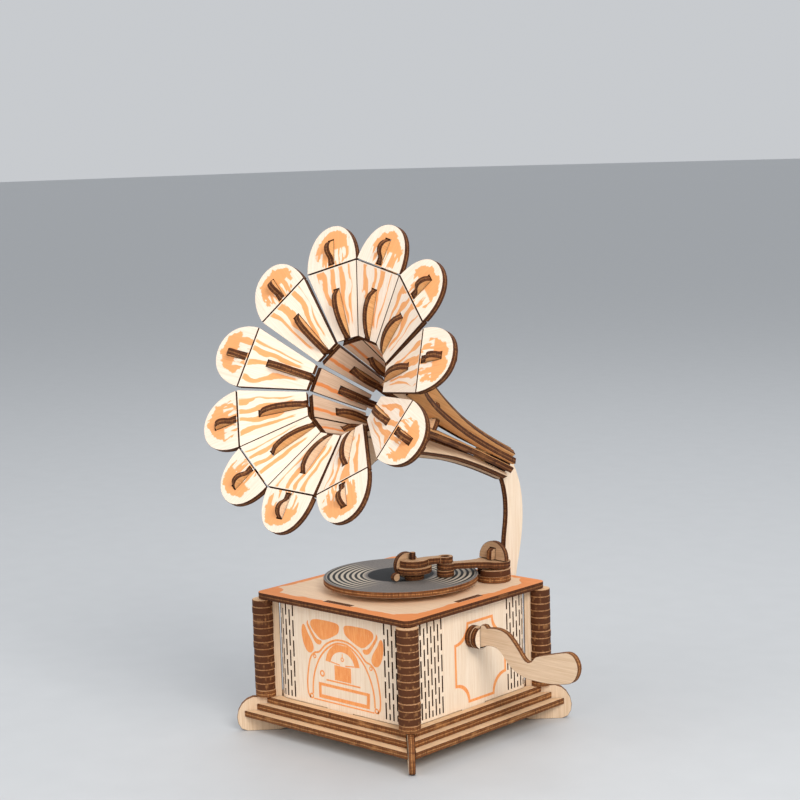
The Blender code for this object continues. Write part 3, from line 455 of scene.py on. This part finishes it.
def main_normal(mesh):
    """Normal of the plate's two large flat faces."""
    sums = {}
    for face in mesh.polygons:
        normal = face.normal
        lead = max(range(3), key=lambda axis: abs(round(normal[axis], 2)))
        if normal[lead] < 0:
            normal = -normal
        key = tuple(round(part, 1) for part in normal)
        sums[key] = sums.get(key, Vector((0, 0, 0))) + normal * face.area
    return max(sums.values(), key=lambda total: total.length).normalized()


def dress(piece, face, edge_look, normal=None, grain=None, origin=None,
          rim=RIM, rim_look=None, back=None):
    """Face and edge materials, plan coordinates in millimetres, and softened burnt corners."""
    mesh = piece.data
    normal = normal or main_normal(mesh)
    if grain is None:
        grain = EAST if abs(normal.x) < 0.9 else Vector((0, 1, 0))
    across = normal.cross(grain).normalized()
    grain = across.cross(normal)
    origin = origin or Vector((0, 0, 0))
    low = min(vertex.co.dot(normal) for vertex in mesh.vertices)
    mesh.materials.clear()
    for look in (face, edge_look, rim_look or edge_look, back or face):
        mesh.materials.append(look)
    layer = mesh.uv_layers.new(name="plan")
    for polygon in mesh.polygons:
        facing = polygon.normal.dot(normal)
        flat = abs(facing) > 0.7
        polygon.material_index = (0 if facing > 0 else 3) if flat else 1
        along = normal.cross(polygon.normal)
        for loop in polygon.loop_indices:
            point = mesh.vertices[mesh.loops[loop].vertex_index].co
            if flat:
                spot = ((point - origin).dot(grain), (point - origin).dot(across))
            else:
                spot = (point.dot(along), point.dot(normal) - low)
            layer.data[loop].uv = (spot[0] / MM, spot[1] / MM)
    mesh.shade_smooth()
    mesh.set_sharp_from_angle(angle=SHARP)
    if rim:
        soften = piece.modifiers.new("rim", "BEVEL")
        soften.width = rim
        soften.segments = 1
        soften.limit_method = "ANGLE"
        soften.angle_limit = BEVELLED
        soften.material = 2
    return piece


def add(name, mesh, body, nodes=()):
    piece = bpy.data.objects.new(name, mesh)
    bpy.context.scene.collection.objects.link(piece)
    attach(piece, body)
    if nodes:
        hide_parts(*nodes)
    return piece


BODY_OF = {
    node: body
    for body, members in frame["record"]["behaviour"]["bodies"].items()
    for node in members
}


def plate(node, face, edge_look, **looks):
    """A finished plate with the outline of its CAD node."""
    piece = add(node + "_ply", node_copy(node), BODY_OF[node], [node])
    return dress(piece, face, edge_look, **looks)


# ---------------------------------------------------------------- base and case

CORNERS = ("back_right", "back_left", "front_left", "front_right")


def base():
    for level in ("bottom", "middle", "upper"):
        plate("base_plate_" + level, STRIP, BROWN, normal=UP)
    for corner in CORNERS:
        # Painted shade: the corner ribs take the darker, warmer honey birch in place of the pale
        # birch.
        plate("corner_rib_" + corner, HONEY_AND_SHADE, BROWN, grain=UP)


COLUMN_DISCS = 14
DISC_GAP = 0.12 * MM
DISC_SPREAD = 0.035
DISC_SLIDE = 0.1 * MM
DISC_SLOT_HALF = 1.6 * MM
DISC_SLOT_PAST = 0.4 * MM


def slotted_disc(radius, toward, half_slot, depth):
    """Round disc with a slot from its rim at the angle toward, past its centre by depth."""
    opening = math.asin(half_slot / radius)
    points = []
    turns = 36
    for step in range(turns + 1):
        angle = toward + opening + (2 * math.pi - 2 * opening) * step / turns
        points.append((radius * math.cos(angle), radius * math.sin(angle)))
    way = Vector((math.cos(toward), math.sin(toward)))
    side = Vector((-way.y, way.x))
    for sign in (-1, 1):
        corner = -way * depth + side * half_slot * sign
        points.append((corner.x, corner.y))
    return points


def columns():
    """Each corner column is a stack of separate discs pushed onto the rib's upright."""
    rng = random.Random(4)
    for corner in CORNERS:
        node = "column_" + corner
        low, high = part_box(node)
        middle = (low + high) / 2
        radius = (high.x - low.x) / 2
        toward = math.atan2(MIDDLE.y - middle.y, MIDDLE.x - middle.x)
        pitch = (high.z - low.z) / COLUMN_DISCS
        stack = bmesh.new()
        for level in range(COLUMN_DISCS):
            size = radius * (1.0 - DISC_SPREAD * rng.random())
            outline = slotted_disc(size, toward, DISC_SLOT_HALF, DISC_SLOT_PAST)
            disc = sheet(outline, pitch - DISC_GAP)
            slide_x = rng.uniform(-DISC_SLIDE, DISC_SLIDE)
            slide_y = rng.uniform(-DISC_SLIDE, DISC_SLIDE)
            slide = Vector((slide_x, slide_y, 0))
            seat = Vector((middle.x, middle.y, low.z + level * pitch))
            disc.transform(Matrix.Translation(seat + slide))
            stack.from_mesh(disc)
        piece = add(node + "_discs", baked(stack, node), "case", [node])
        dress(piece, STRIP, BROWN, normal=UP, rim=DISC_RIM, rim_look=RIMS)


WALL_CORNER = 9.0 * MM
SLIT = 0.82 * MM
SLIT_PITCH = 2.15 * MM
SLIT_COLUMNS = 15
SLIT_LONG = 7.2 * MM
SLIT_PERIOD = 9.0 * MM
SLIT_START = 1.3 * MM
TAB_HALF = 7.6 * MM
TAB_OUT = 3.0 * MM
SLIT_SHORTEST = 1.0 * MM
# From a wall's middle to the first slit of the hinge at its end; the right wall's is nearer.
HINGE_START = 27.2 * MM
SIDE_HINGE_START = 23.4 * MM
SHAFT_HOLE = 2.3 * MM
ARM_SLOT = Vector((3.3, 8.0, 7.0)) * MM
ARM_SLOT_Z = 53 * MM
THROUGH = 12 * MM


class BentWall:
    """The wall's sheet in cells: lengths along its outer face from the front's middle, and heights."""

    def __init__(self):
        low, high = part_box("wall_wrap")
        self.half = (high.x - low.x) / 2
        self.straight = self.half - WALL_CORNER
        self.quarter = 2 * self.straight + WALL_CORNER * math.pi / 2
        self.bottom = low.z + TAB_OUT
        self.top = high.z - TAB_OUT
        self.slits = self.slit_columns()
        self.rows = [self.slit_rows(odd) for odd in (0, 1)]
        cuts = {0.0}
        for begin, finish, odd in self.slits:
            cuts.update((begin, finish))
        for side in range(4):
            middle = side * self.quarter
            cuts.update((middle + TAB_HALF, (middle - TAB_HALF) % (4 * self.quarter)))
        heights = {low.z, self.bottom, self.top, high.z}
        for rows in self.rows:
            for pair in rows:
                heights.update(pair)
        self.cuts = sorted(cuts)
        self.heights = sorted(heights)
        self.work = bmesh.new()
        self.layer = self.work.loops.layers.uv.new("plan")
        self.verts = {}

    def slit_columns(self):
        """Start, end and parity of each column of hinge slits, in four groups at the corners."""
        hinge = (SLIT_COLUMNS - 1) * SLIT_PITCH
        starts = (
            HINGE_START,
            self.quarter + SIDE_HINGE_START,
            2 * self.quarter + HINGE_START,
            4 * self.quarter - HINGE_START - hinge,
        )
        slits = []
        for start in starts:
            for column in range(SLIT_COLUMNS):
                centre = start + column * SLIT_PITCH
                slits.append((centre - SLIT / 2, centre + SLIT / 2, column % 2))
        return slits

    def slit_rows(self, odd):
        """Start and end heights of the slits in one column."""
        low, high = self.bottom + SLIT_START, self.top - SLIT_START
        start = low - (SLIT_PERIOD / 2 if odd else 0)
        rows = []
        while start < high:
            begin, finish = max(start, low), min(start + SLIT_LONG, high)
            if finish - begin > SLIT_SHORTEST:
                rows.append((begin, finish))
            start += SLIT_PERIOD
        return rows

    def point(self, along, depth):
        """Plan point of the bent sheet at a length and a depth behind its outer face."""
        side = math.floor((along + self.straight) / self.quarter)
        local = along + self.straight - side * self.quarter
        if local <= 2 * self.straight:
            spot = Vector((local - self.straight, -(self.half - depth), 0))
        else:
            angle = (local - 2 * self.straight) / WALL_CORNER
            reach = WALL_CORNER - depth
            out, aside = reach * math.cos(angle), reach * math.sin(angle)
            spot = Vector((self.straight + aside, -self.straight - out, 0))
        return Matrix.Rotation(side * math.pi / 2, 3, "Z") @ spot

    def cell_end(self, column):
        """Length at the far side of a cell; the last one closes the ring."""
        after = column + 1
        return self.cuts[after] if after < len(self.cuts) else 4 * self.quarter

    def present(self, column, row):
        """Whether a cell is wood, not a slit or the space beside a tab."""
        if not 0 <= row < len(self.heights) - 1:
            return False
        middle = (self.cuts[column] + self.cell_end(column)) / 2
        level = (self.heights[row] + self.heights[row + 1]) / 2
        if not self.bottom <= level <= self.top:
            off = (middle + self.quarter / 2) % self.quarter - self.quarter / 2
            return abs(off) < TAB_HALF
        for first, last, odd in self.slits:
            if first < middle < last:
                return not any(down < level < up for down, up in self.rows[odd])
        return True

    def vert(self, column, row, depth):
        key = (column % len(self.cuts), row, depth)
        if key not in self.verts:
            plan = MIDDLE + self.point(self.cuts[key[0]], depth * PLY)
            self.verts[key] = self.work.verts.new((plan.x, plan.y, self.heights[row]))
        return self.verts[key]

    def face(self, corners, look, coordinates):
        made = self.work.faces.new(corners)
        made.material_index = look
        for loop, spot in zip(made.loops, coordinates):
            loop[self.layer].uv = (spot[0] / MM, spot[1] / MM)

    def cell(self, column, row):
        """Outer and inner face of a cell, and a cut face wherever its neighbour is missing."""
        begin, finish = self.cuts[column], self.cell_end(column)
        down, up = self.heights[row], self.heights[row + 1]
        flat = [(down, begin), (down, finish), (up, finish), (up, begin)]
        steps = ((column, row), (column + 1, row), (column + 1, row + 1), (column, row + 1))
        self.face([self.vert(*step, 0) for step in steps], 0, flat)
        self.face([self.vert(*step, 1) for step in reversed(steps)], 0, flat[::-1])
        sides = (
            (column, row - 1, 0, 1, begin, finish),
            (column + 1, row, 1, 2, down, up),
            (column, row + 1, 2, 3, finish, begin),
            (column - 1, row, 3, 0, up, down),
        )
        for next_column, next_row, first, second, start, end in sides:
            if self.present(next_column % len(self.cuts), next_row):
                continue
            a, b = steps[first], steps[second]
            corners = [self.vert(*b, 0), self.vert(*a, 0), self.vert(*a, 1), self.vert(*b, 1)]
            self.face(corners, 1, [(end, 0), (start, 0), (start, PLY), (end, PLY)])

    def mesh(self):
        for column in range(len(self.cuts)):
            for row in range(len(self.heights) - 1):
                if self.present(column, row):
                    self.cell(column, row)
        bmesh.ops.recalc_face_normals(self.work, faces=self.work.faces)
        return baked(self.work, "wall_wrap")


def shaft_hole():
    """Cutter for the crank shaft's round hole in the right wall."""
    joint = next(item for item in frame["joints"] if item["name"] == "crank_turn")
    spin = Matrix.Translation(Vector(joint["pos_m"])) @ Matrix.Rotation(math.pi / 2, 4, "Y")
    return rod(SHAFT_HOLE, THROUGH, spin, 32)


def arm_slot(half):
    """Cutter for the slot in the rear wall that takes the horn arm's tab."""
    low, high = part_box("horn_arm")
    centre = Vector(((low.x + high.x) / 2, MIDDLE.y + half, ARM_SLOT_Z))
    work = bmesh.new()
    place = Matrix.Translation(centre) @ Matrix.Diagonal((*ARM_SLOT, 1))
    bmesh.ops.create_cube(work, size=1.0, matrix=place)
    return baked(work, "cutter")


def wall():
    """One sheet bent round the case, with living-hinge slits and tabs; returns its half width."""
    bent = BentWall()
    mesh = bent.mesh()
    mesh.materials.append(PALE)
    mesh.materials.append(CHAR)
    mesh = without(mesh, (shaft_hole(), arm_slot(bent.half)))
    mesh.shade_smooth()
    mesh.set_sharp_from_angle(angle=SHARP)
    add("wall_wrap_sheet", mesh, "case", ["wall_wrap"])
    return bent.half


# ---------------------------------------------------------------- prints on the walls

INK_THICK = 0.05 * MM
INK_SUNK = 0.01 * MM


def smooth(points, steps=5, closed=False):
    """A curve through the points."""
    count = len(points)
    made = []
    spans = count if closed else count - 1
    for index in range(spans):
        pick = []
        for offset in (-1, 0, 1, 2):
            place = index + offset
            place = place % count if closed else min(max(place, 0), count - 1)
            pick.append(Vector(points[place]))
        for step in range(steps):
            t = step / steps
            spot = 0.5 * (
                2 * pick[1] + (pick[2] - pick[0]) * t
                + (2 * pick[0] - 5 * pick[1] + 4 * pick[2] - pick[3]) * t * t
                + (3 * pick[1] - pick[0] - 3 * pick[2] + pick[3]) * t * t * t
            )
            made.append((spot.x, spot.y))
    if not closed:
        made.append(tuple(points[-1]))
    return made


def ribbon(points, width):
    """Outline of a line of that width through the points."""
    left, right = [], []
    count = len(points)
    for index, point in enumerate(points):
        before = Vector(points[max(index - 1, 0)])
        after = Vector(points[min(index + 1, count - 1)])
        way = (after - before).normalized()
        side = Vector((-way.y, way.x)) * width / 2
        left.append(tuple(Vector(point) + side))
        right.append(tuple(Vector(point) - side))
    return left + right[::-1]


def mirrored(points):
    return [(-x, y) for x, y in points]


def ink(name, shapes, place):
    """Thin printed patches; each shape is an outline with its holes, in millimetres on the wall."""
    work = bmesh.new()
    for shape in shapes:
        rings = [[(x * MM, y * MM) for x, y in ring] for ring in shape]
        work.from_mesh(sheet(rings[0], INK_THICK, rings[1:]))
    mesh = baked(work, name)
    mesh.transform(Matrix.Translation((0, 0, -INK_SUNK)))
    mesh.transform(place)
    piece = add(name, mesh, "case")
    normal = (place.to_3x3() @ UP).normalized()
    dress(piece, ORANGE, ORANGE, normal=normal, grain=UP, rim=0.0)


def wall_place(side, half):
    """Wall coordinates: x to the right as one looks at the wall, y up, z out of it."""
    turn = Matrix.Rotation(side * math.pi / 2, 4, "Z")
    stand = Matrix.Rotation(math.pi / 2, 4, "X")
    return Matrix.Translation(MIDDLE) @ turn @ Matrix.Translation((0, -half, 0)) @ stand


PHONE_X = 2.4
PHONE_LINE = 0.85


def handset():
    """Left half of the handset: the receiver, its collar and the bend to the cord."""
    receiver = [
        (-18.7, 50.6), (-17.3, 53.3), (-10.4, 53.9), (-2.4, 53.4),
        (-1.5, 50.9), (-3.4, 48.5), (-11.2, 45.2), (-15.6, 47.2),
    ]
    collar = [
        (-20.3, 52.5), (-19.6, 50.4), (-15.6, 45.6), (-12.3, 44.6),
        (-13.1, 42.9), (-15.8, 43.3), (-18.6, 46.8), (-21.0, 50.6),
    ]
    cord_end = [
        (-23.8, 49.9), (-24.3, 46.5), (-23.3, 42.0), (-21.3, 38.9), (-18.9, 38.4),
        (-17.2, 40.4), (-18.0, 43.4), (-20.7, 47.2), (-22.4, 50.2),
    ]
    return [smooth(part, 5, closed=True) for part in (receiver, collar, cord_end)]


def dial_arch():
    """Arch over the dial, open at its feet."""
    outer = [
        (-10.2, 36.3), (-8.4, 40.6), (-4.4, 43.9), (0.0, 44.5),
        (4.4, 43.9), (8.4, 40.6), (10.2, 36.3),
    ]
    inner = [
        (7.3, 36.0), (5.9, 38.9), (3.3, 40.8), (0.0, 41.5),
        (-3.3, 40.8), (-5.9, 38.9), (-7.3, 36.0),
    ]
    return smooth(outer, 6) + smooth(inner, 6)


def washer(x, y, outer, inner, turns=20):
    """A small ring: its outline and its hole."""
    return [circle(outer, turns, (x, y)), circle(inner, turns - 6, (x, y))]


def telephone():
    """An old table telephone in front view: handset on its cradle, dial arch, box and plinth."""
    body = [
        (0.0, 46.6), (4.4, 46.0), (9.6, 43.5), (13.6, 39.8), (16.8, 38.7),
        (19.3, 36.2), (20.8, 31.0), (21.6, 25.6), (21.4, 20.6), (19.9, 18.3),
    ]
    hood = [
        (0.0, 45.2), (3.6, 44.7), (8.4, 42.2), (13.3, 37.4),
        (16.6, 31.2), (18.1, 25.6), (18.4, 20.4),
    ]
    halves = handset()
    for line in (body, hood):
        path = smooth(line, 6)
        halves.append(ribbon(path, PHONE_LINE))
    shapes = []
    for ring in halves:
        shapes.extend(([ring], [mirrored(ring)]))
    shapes.append([dial_arch()])
    for sign in (-1, 1):
        shapes.append([ribbon([(1.6 * sign, 35.7), (7.0 * sign, 36.3)], 0.5)])
        shapes.append(washer(16.7 * sign, 37.2, 1.0, 0.45))
        shapes.append(washer(19.3 * sign, 19.3, 1.25, 0.6))
    shapes.append(washer(0.0, 38.3, 1.0, 0.5, turns=18))
    shapes.append([ribbon([(0.0, 39.2), (0.0, 40.9)], 0.4)])
    shapes.append([[(-4.9, 28.7), (4.9, 28.7), (4.9, 35.2), (-4.9, 35.2)]])
    shapes.append([ribbon([(-10.0, 27.9), (10.2, 27.9)], 0.7)])
    shapes.append([
        [(-14.8, 19.4), (15.3, 19.4), (15.7, 26.2), (-14.8, 26.2)],
        [(-13.2, 21.0), (-13.2, 24.9), (13.9, 24.9), (13.7, 21.0)],
    ])
    shapes.append(washer(-12.4, 30.3, 1.5, 0.75, turns=22))
    shapes.append([ribbon([(-18.0, 18.3), (18.0, 18.3)], 0.6)])
    return [[[(PHONE_X + x, y) for x, y in ring] for ring in shape] for shape in shapes]


CARTOUCHE_Z = 35.0
CARTOUCHE_HALF_Z = 17.0
CARTOUCHE_NOTCH = 8.2
CARTOUCHE_LINE = 1.15
ARC_STEPS = 8


def cartouche(middle, half_x):
    """Rectangle outline whose corners are cut by inward arcs."""
    def ring(grow):
        points = []
        for sx, sz in ((1, 1), (-1, 1), (-1, -1), (1, -1)):
            arc = []
            for step in range(ARC_STEPS + 1):
                angle = math.pi / 2 * step / ARC_STEPS
                reach_x = half_x + grow - CARTOUCHE_NOTCH * math.cos(angle)
                reach_z = CARTOUCHE_HALF_Z + grow - CARTOUCHE_NOTCH * math.sin(angle)
                arc.append((middle + sx * reach_x, CARTOUCHE_Z + sz * reach_z))
            if sx * sz > 0:
                arc.reverse()
            points.extend(arc)
        return points
    return [ring(CARTOUCHE_LINE / 2), ring(-CARTOUCHE_LINE / 2)]


def prints(half):
    ink("front_print", telephone(), wall_place(0, half))
    ink("right_print", [cartouche(5.4, 16.2)], wall_place(1, half))
    ink("back_print", [cartouche(-4.0, 13.5)], wall_place(2, half))
    ink("left_print", [cartouche(0.0, 13.5)], wall_place(3, half))


# ---------------------------------------------------------------- record, tonearm and crank

RECORD_BORE = 2.15 * MM
RECORD_BEVEL = 0.15 * MM
RECORD_TURNS = 128
RING_COUNT = 46
RING_DEPTH = 0.045 * MM
RINGS_INNER = 0.45
RINGS_OUTER = 0.965


def record_profile(radius, low, high):
    """Radius and height of each turned corner, from the bore round the rim and over the rings."""
    profile = [
        (RECORD_BORE, low), (radius - RECORD_BEVEL, low), (radius, low + RECORD_BEVEL),
        (radius, high - RECORD_BEVEL), (radius - RECORD_BEVEL, high),
    ]
    inner = radius * RINGS_INNER
    outer = radius * RINGS_OUTER
    pitch = (outer - inner) / RING_COUNT
    for ring in range(RING_COUNT):
        start = outer - ring * pitch
        profile.append((start, high))
        profile.append((start - pitch / 2, high - RING_DEPTH))
    return profile + [(inner, high), (RECORD_BORE, high)]


def record():
    """Disc with shallow engraved rings; its print is in the plan coordinates round the spindle."""
    low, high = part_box("record")
    centre = (low + high) / 2
    work = bmesh.new()
    loops = []
    for reach, height in record_profile((high.x - low.x) / 2, low.z, high.z):
        spots = circle(reach, RECORD_TURNS, centre)
        loops.append([work.verts.new((x, y, height)) for x, y in spots])
    for index in range(len(loops)):
        first, second = loops[index], loops[(index + 1) % len(loops)]
        for step in range(RECORD_TURNS):
            after = (step + 1) % RECORD_TURNS
            work.faces.new((first[step], first[after], second[after], second[step]))
    bmesh.ops.recalc_face_normals(work, faces=work.faces)
    mesh = baked(work, "record")
    piece = add("record_disc", mesh, "turntable", ["record"])
    dress(piece, GROOVES, BROWN, normal=UP, grain=EAST, origin=centre, rim=0.0, back=HONEY_AND_SHADE)
    plate("record_hub", STRIP, CHAR, normal=UP)
    plate("record_spindle", TOAST_AND_SHADE, CHAR, normal=UP)


TOWER_DISCS = 2
TOWER_GAP = 0.1 * MM
TOWER_TAPER = 0.01
TOWER_BORE = 2.2 * MM
BITE_AT = Vector((-4.4, -6.6, 0)) * MM
BITE_RADIUS = 2.6 * MM


def tower():
    """Stacked discs; the upper one has a round bite towards the record."""
    low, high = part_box("tonearm_tower")
    centre = (low + high) / 2
    radius = (high.x - low.x) / 2
    pitch = (high.z - low.z) / TOWER_DISCS
    stack = bmesh.new()
    for level in range(TOWER_DISCS):
        outline = circle(radius * (1 - TOWER_TAPER * level), 48)
        disc = sheet(outline, pitch - TOWER_GAP, [circle(TOWER_BORE, 24)])
        if level == TOWER_DISCS - 1:
            disc = without(disc, [rod(BITE_RADIUS, THROUGH, Matrix.Translation(BITE_AT), 28)])
        disc.transform(Matrix.Translation((centre.x, centre.y, low.z + level * pitch)))
        stack.from_mesh(disc)
    piece = add("tonearm_tower_discs", baked(stack, "tower"), "case", ["tonearm_tower"])
    dress(piece, STRIP, BROWN, normal=UP, rim=DISC_RIM, rim_look=RIMS)


TONEARM_ROUNDED = (
    "tonearm_bar", "soundbox_bridge", "soundbox_disc_wide", "soundbox_disc_small", "link_disc",
)
TONEARM_PLAIN = ("tonearm_moon", "tonearm_moon_rib", "soundbox_diaphragm", "stylus")


def tonearm():
    tower()
    plate("tonearm_pivot", TOAST_AND_SHADE, CHAR, normal=UP)
    # Painted shade: the tonearm's plates take the darker birch for the horn's shadow.
    for node in TONEARM_ROUNDED:
        plate(node, HORN_SHADOW_BIRCH, CHAR, rim=DISC_RIM, rim_look=RIMS)
    for node in TONEARM_PLAIN:
        plate(node, HORN_SHADOW_BIRCH, CHAR)


def crank():
    plate("crank_retainer", STRIP, CHAR, normal=EAST)
    plate("crank_boss_inner", STRIP, CHAR, normal=EAST)
    plate("crank_boss_outer", PALE, CHAR, normal=EAST)
    plate("crank_shaft", TOAST_AND_SHADE, CHAR, normal=EAST)
    plate("crank_plate", HONEY_AND_SHADE, BROWN, grain=EAST)


# ---------------------------------------------------------------- horn

PETALS = 11
# Painted light: these two fins take the lighter honey birch as lit faces; the other fins take the
# darker birch as painted shade.
LIT_FINS = (6, 7)
FOLD_GAP = 0.34 * MM


class Petal:
    """Planes and fold line of one bent petal, read from its CAD node."""

    def __init__(self, node):
        self.node = node
        mesh = node_copy(node)
        groups = {}
        for face in mesh.polygons:
            if face.normal.dot(FRONT) < 0.3:
                continue
            key = tuple(round(part, 1) for part in face.normal)
            groups.setdefault(key, []).append(face)
        ordered = sorted(groups.values(), key=lambda faces: -sum(face.area for face in faces))
        panel, lobe = ordered[0], ordered[1]
        self.panel_normal = panel[0].normal.copy()
        self.lobe_normal = lobe[0].normal.copy()
        shared = {index for face in panel for index in face.vertices}
        shared &= {index for face in lobe for index in face.vertices}
        points = [mesh.vertices[index].co.copy() for index in shared]
        self.fold = sum(points, Vector((0, 0, 0))) / len(points)
        self.tangent = self.panel_normal.cross(self.lobe_normal).normalized()
        self.panel_way = self.way(panel, self.panel_normal, -1)
        self.lobe_way = self.way(lobe, self.lobe_normal, 1)
        self.mesh = mesh

    def way(self, faces, normal, sign):
        """Direction in the plate's plane, away from the throat."""
        centre = sum((face.center * face.area for face in faces), Vector((0, 0, 0)))
        centre /= sum(face.area for face in faces)
        way = self.tangent.cross(normal).normalized()
        if (centre - self.fold).dot(way) * sign < 0:
            way = -way
        return way

    def half(self, keep_lobe):
        """The panel's or the lobe's mesh, cut off at the fold."""
        work = bmesh.new()
        work.from_mesh(self.mesh)
        out = (self.panel_way + self.lobe_way).normalized()
        place = self.fold + out * (FOLD_GAP if keep_lobe else -FOLD_GAP)
        everything = [*work.verts, *work.edges, *work.faces]
        bmesh.ops.bisect_plane(
            work, geom=everything, plane_co=place, plane_no=out,
            clear_inner=keep_lobe, clear_outer=not keep_lobe)
        edges = [item for item in work.edges if item.is_boundary]
        bmesh.ops.holes_fill(work, edges=edges, sides=0)
        bmesh.ops.recalc_face_normals(work, faces=work.faces)
        return baked(work, self.node)


# The funnel's two ends: distance from the horn's axis, and distance behind the petals' folds.
REAR_RADIUS = 13.6 * MM
REAR_BACK = 41.6 * MM
THROAT_RADIUS = 20.56 * MM
THROAT_BACK = 12.0 * MM
WEDGE = math.radians(15.5)
SEAM = 0.25 * MM
FUNNEL_SHARE = 0.52
SLOT = 3.3 * MM
FRONT_GAP = 3.1 * MM


def horn_axis(leaves):
    """The horn's axis, square to the fold lines of two petals; it points out of the horn."""
    axis = leaves[0].tangent.cross(leaves[3].tangent).normalized()
    return axis if axis.dot(FRONT) > 0 else -axis


def throat_panels(leaves, axis):
    """Eleven narrow slotted panels between the petals' inner ends and the horn's neck."""
    heart = sum((leaf.fold for leaf in leaves), Vector((0, 0, 0))) / len(leaves)
    outward = []
    for leaf in leaves:
        radial = leaf.tangent.cross(axis).normalized()
        outward.append(radial if (leaf.fold - heart).dot(radial) > 0 else -radial)
    first, sixth = leaves[0], leaves[5]
    reach = (first.fold - sixth.fold).length / (outward[0] - outward[5]).length
    centre = first.fold - outward[0] * reach
    rear = Vector((REAR_RADIUS, -REAR_BACK))
    throat = Vector((THROAT_RADIUS, -THROAT_BACK))
    way = (throat - rear).normalized()
    length = (throat - rear).length - FRONT_GAP
    slot_long = (throat - rear).length * FUNNEL_SHARE
    front_radius = rear.x + way.x * length
    wide_rear = rear.x * math.tan(WEDGE) - SEAM
    wide_front = front_radius * math.tan(WEDGE) - SEAM
    half = SLOT / 2
    outline = [
        (0, half), (slot_long, half), (slot_long, -half), (0, -half),
        (0, -wide_rear), (length, -wide_front), (length, wide_front), (0, wide_rear),
    ]
    for number, radial in enumerate(outward, 1):
        along = radial * way.x + axis * way.y
        back = radial * way.y - axis * way.x
        side = back.cross(along)
        start = centre + radial * rear.x + axis * rear.y
        mesh = sheet(outline, PLY)
        mesh.transform(standing(along, side, back, start))
        name = f"throat_panel_{number:02d}"
        piece = add(name, mesh, "case", ["throat_funnel"] if number == 1 else ())
        dress(piece, THROAT, CHAR, normal=-back, grain=along, origin=start, back=HONEY_AND_SHADE)


def horn():
    leaves = [Petal(f"petal_{number:02d}") for number in range(1, PETALS + 1)]
    for leaf in leaves:
        panel = add(leaf.node + "_panel", leaf.half(False), "case", [leaf.node])
        dress(panel, PANEL, CHAR, leaf.panel_normal, leaf.panel_way, leaf.fold, back=HONEY_AND_SHADE)
        lobe = add(leaf.node + "_lobe", leaf.half(True), "case", [leaf.node])
        dress(lobe, LOBE, CHAR, leaf.lobe_normal, leaf.lobe_way, leaf.fold, back=HONEY_AND_SHADE)
    axis = horn_axis(leaves)
    throat_panels(leaves, axis)
    for number in range(1, PETALS + 1):
        # Painted light and shade: the lit fins lighter, the shaded fins darker.
        face = HONEY_AND_SHADE if number in LIT_FINS else TOAST_AND_SHADE
        plate(f"fin_{number:02d}", face, CHAR, grain=axis)
    plate("neck_ring", STRIP, CHAR, normal=axis)
    plate("neck_core", TOAST_AND_SHADE, CHAR, normal=axis)
    plate("horn_arm", PALE, CHAR, normal=EAST, grain=UP)


# ---------------------------------------------------------------- stage

FLOOR_HALF = 30.0


def floor():
    work = bmesh.new()
    bmesh.ops.create_grid(work, x_segments=1, y_segments=1, size=FLOOR_HALF)
    mesh = baked(work, "floor")
    make = Shader("pale_floor")
    coords = make.add("ShaderNodeTexCoord")
    grain = make.add("ShaderNodeTexNoise", {
        "Vector": coords.outputs["Object"], "Scale": 60.0, "Detail": 3.0})
    colour = make.mix(grain.outputs[0], (0.515, 0.53, 0.545), (0.55, 0.565, 0.58))
    make.feed(make.surface.inputs["Base Color"], colour)
    make.surface.inputs["Roughness"].default_value = 0.62
    mesh.materials.append(make.material)
    ground = bpy.data.objects.new("floor", mesh)
    bpy.context.scene.collection.objects.link(ground)


LIT_POINT = Vector((0, 0, 100)) * MM


def direction(turn, rise):
    """Unit vector from the front turned about +Z and then raised."""
    flat = math.cos(rise)
    return Vector((math.sin(turn) * flat, -math.cos(turn) * flat, math.sin(rise)))


def lamp(name, azimuth, elevation, distance, size, power, colour):
    """Soft square light on the model: angles in degrees, lengths in metres, power in watts."""
    data = bpy.data.lights.new(name, "AREA")
    data.shape = "SQUARE"
    data.size = size
    data.energy = power
    data.color = colour
    light = bpy.data.objects.new(name, data)
    bpy.context.scene.collection.objects.link(light)
    turn, rise = math.radians(azimuth), math.radians(elevation)
    away = direction(turn, rise)
    light.location = LIT_POINT + away * distance
    light.rotation_euler = away.to_track_quat("Z", "Y").to_euler()
    light.visible_camera = False


def studio():
    world = bpy.data.worlds.new("studio")
    bpy.context.scene.world = world
    world.use_nodes = True
    back = world.node_tree.nodes["Background"]
    back.inputs[0].default_value = (0.93, 0.96, 1.0, 1.0)
    back.inputs[1].default_value = 0.62
    lamp("key", 66, 34, 1.3, 0.55, 13.0, (1.0, 0.97, 0.93))
    lamp("fill", -12, 30, 1.5, 0.9, 6.8, (1.0, 0.98, 0.96))
    lamp("top", 200, 62, 1.3, 0.9, 4.0, (0.97, 0.98, 1.0))
    bpy.context.scene.view_settings.view_transform = "Standard"


YAW = math.radians(43.06)
PITCH_DOWN = math.radians(7.40)
ROLL = math.radians(-1.74)
EYE = Vector((549.4, -585.0, 248.7)) * MM
LENS = 84.117


def camera():
    """The photograph's viewing angle; EYE is measured from the case's middle on the ground."""
    back = direction(YAW, PITCH_DOWN)
    level = Vector((math.cos(YAW), math.sin(YAW), 0))
    rise = back.cross(level)
    right = level * math.cos(ROLL) + rise * math.sin(ROLL)
    up = rise * math.cos(ROLL) - level * math.sin(ROLL)
    data = bpy.data.cameras.new("camera")
    data.lens = LENS
    data.sensor_width = 36.0
    data.clip_start = 0.01
    viewer = bpy.data.objects.new("camera", data)
    viewer.matrix_world = standing(right, up, back, MIDDLE + EYE)
    bpy.context.scene.collection.objects.link(viewer)
    bpy.context.scene.camera = viewer


camera()
studio()
floor()
base()
columns()
prints(wall())
plate("top_plate", TOP, CHAR, normal=UP, grain=EAST, origin=MIDDLE, back=HONEY_AND_SHADE)
record()
tonearm()
crank()
horn()
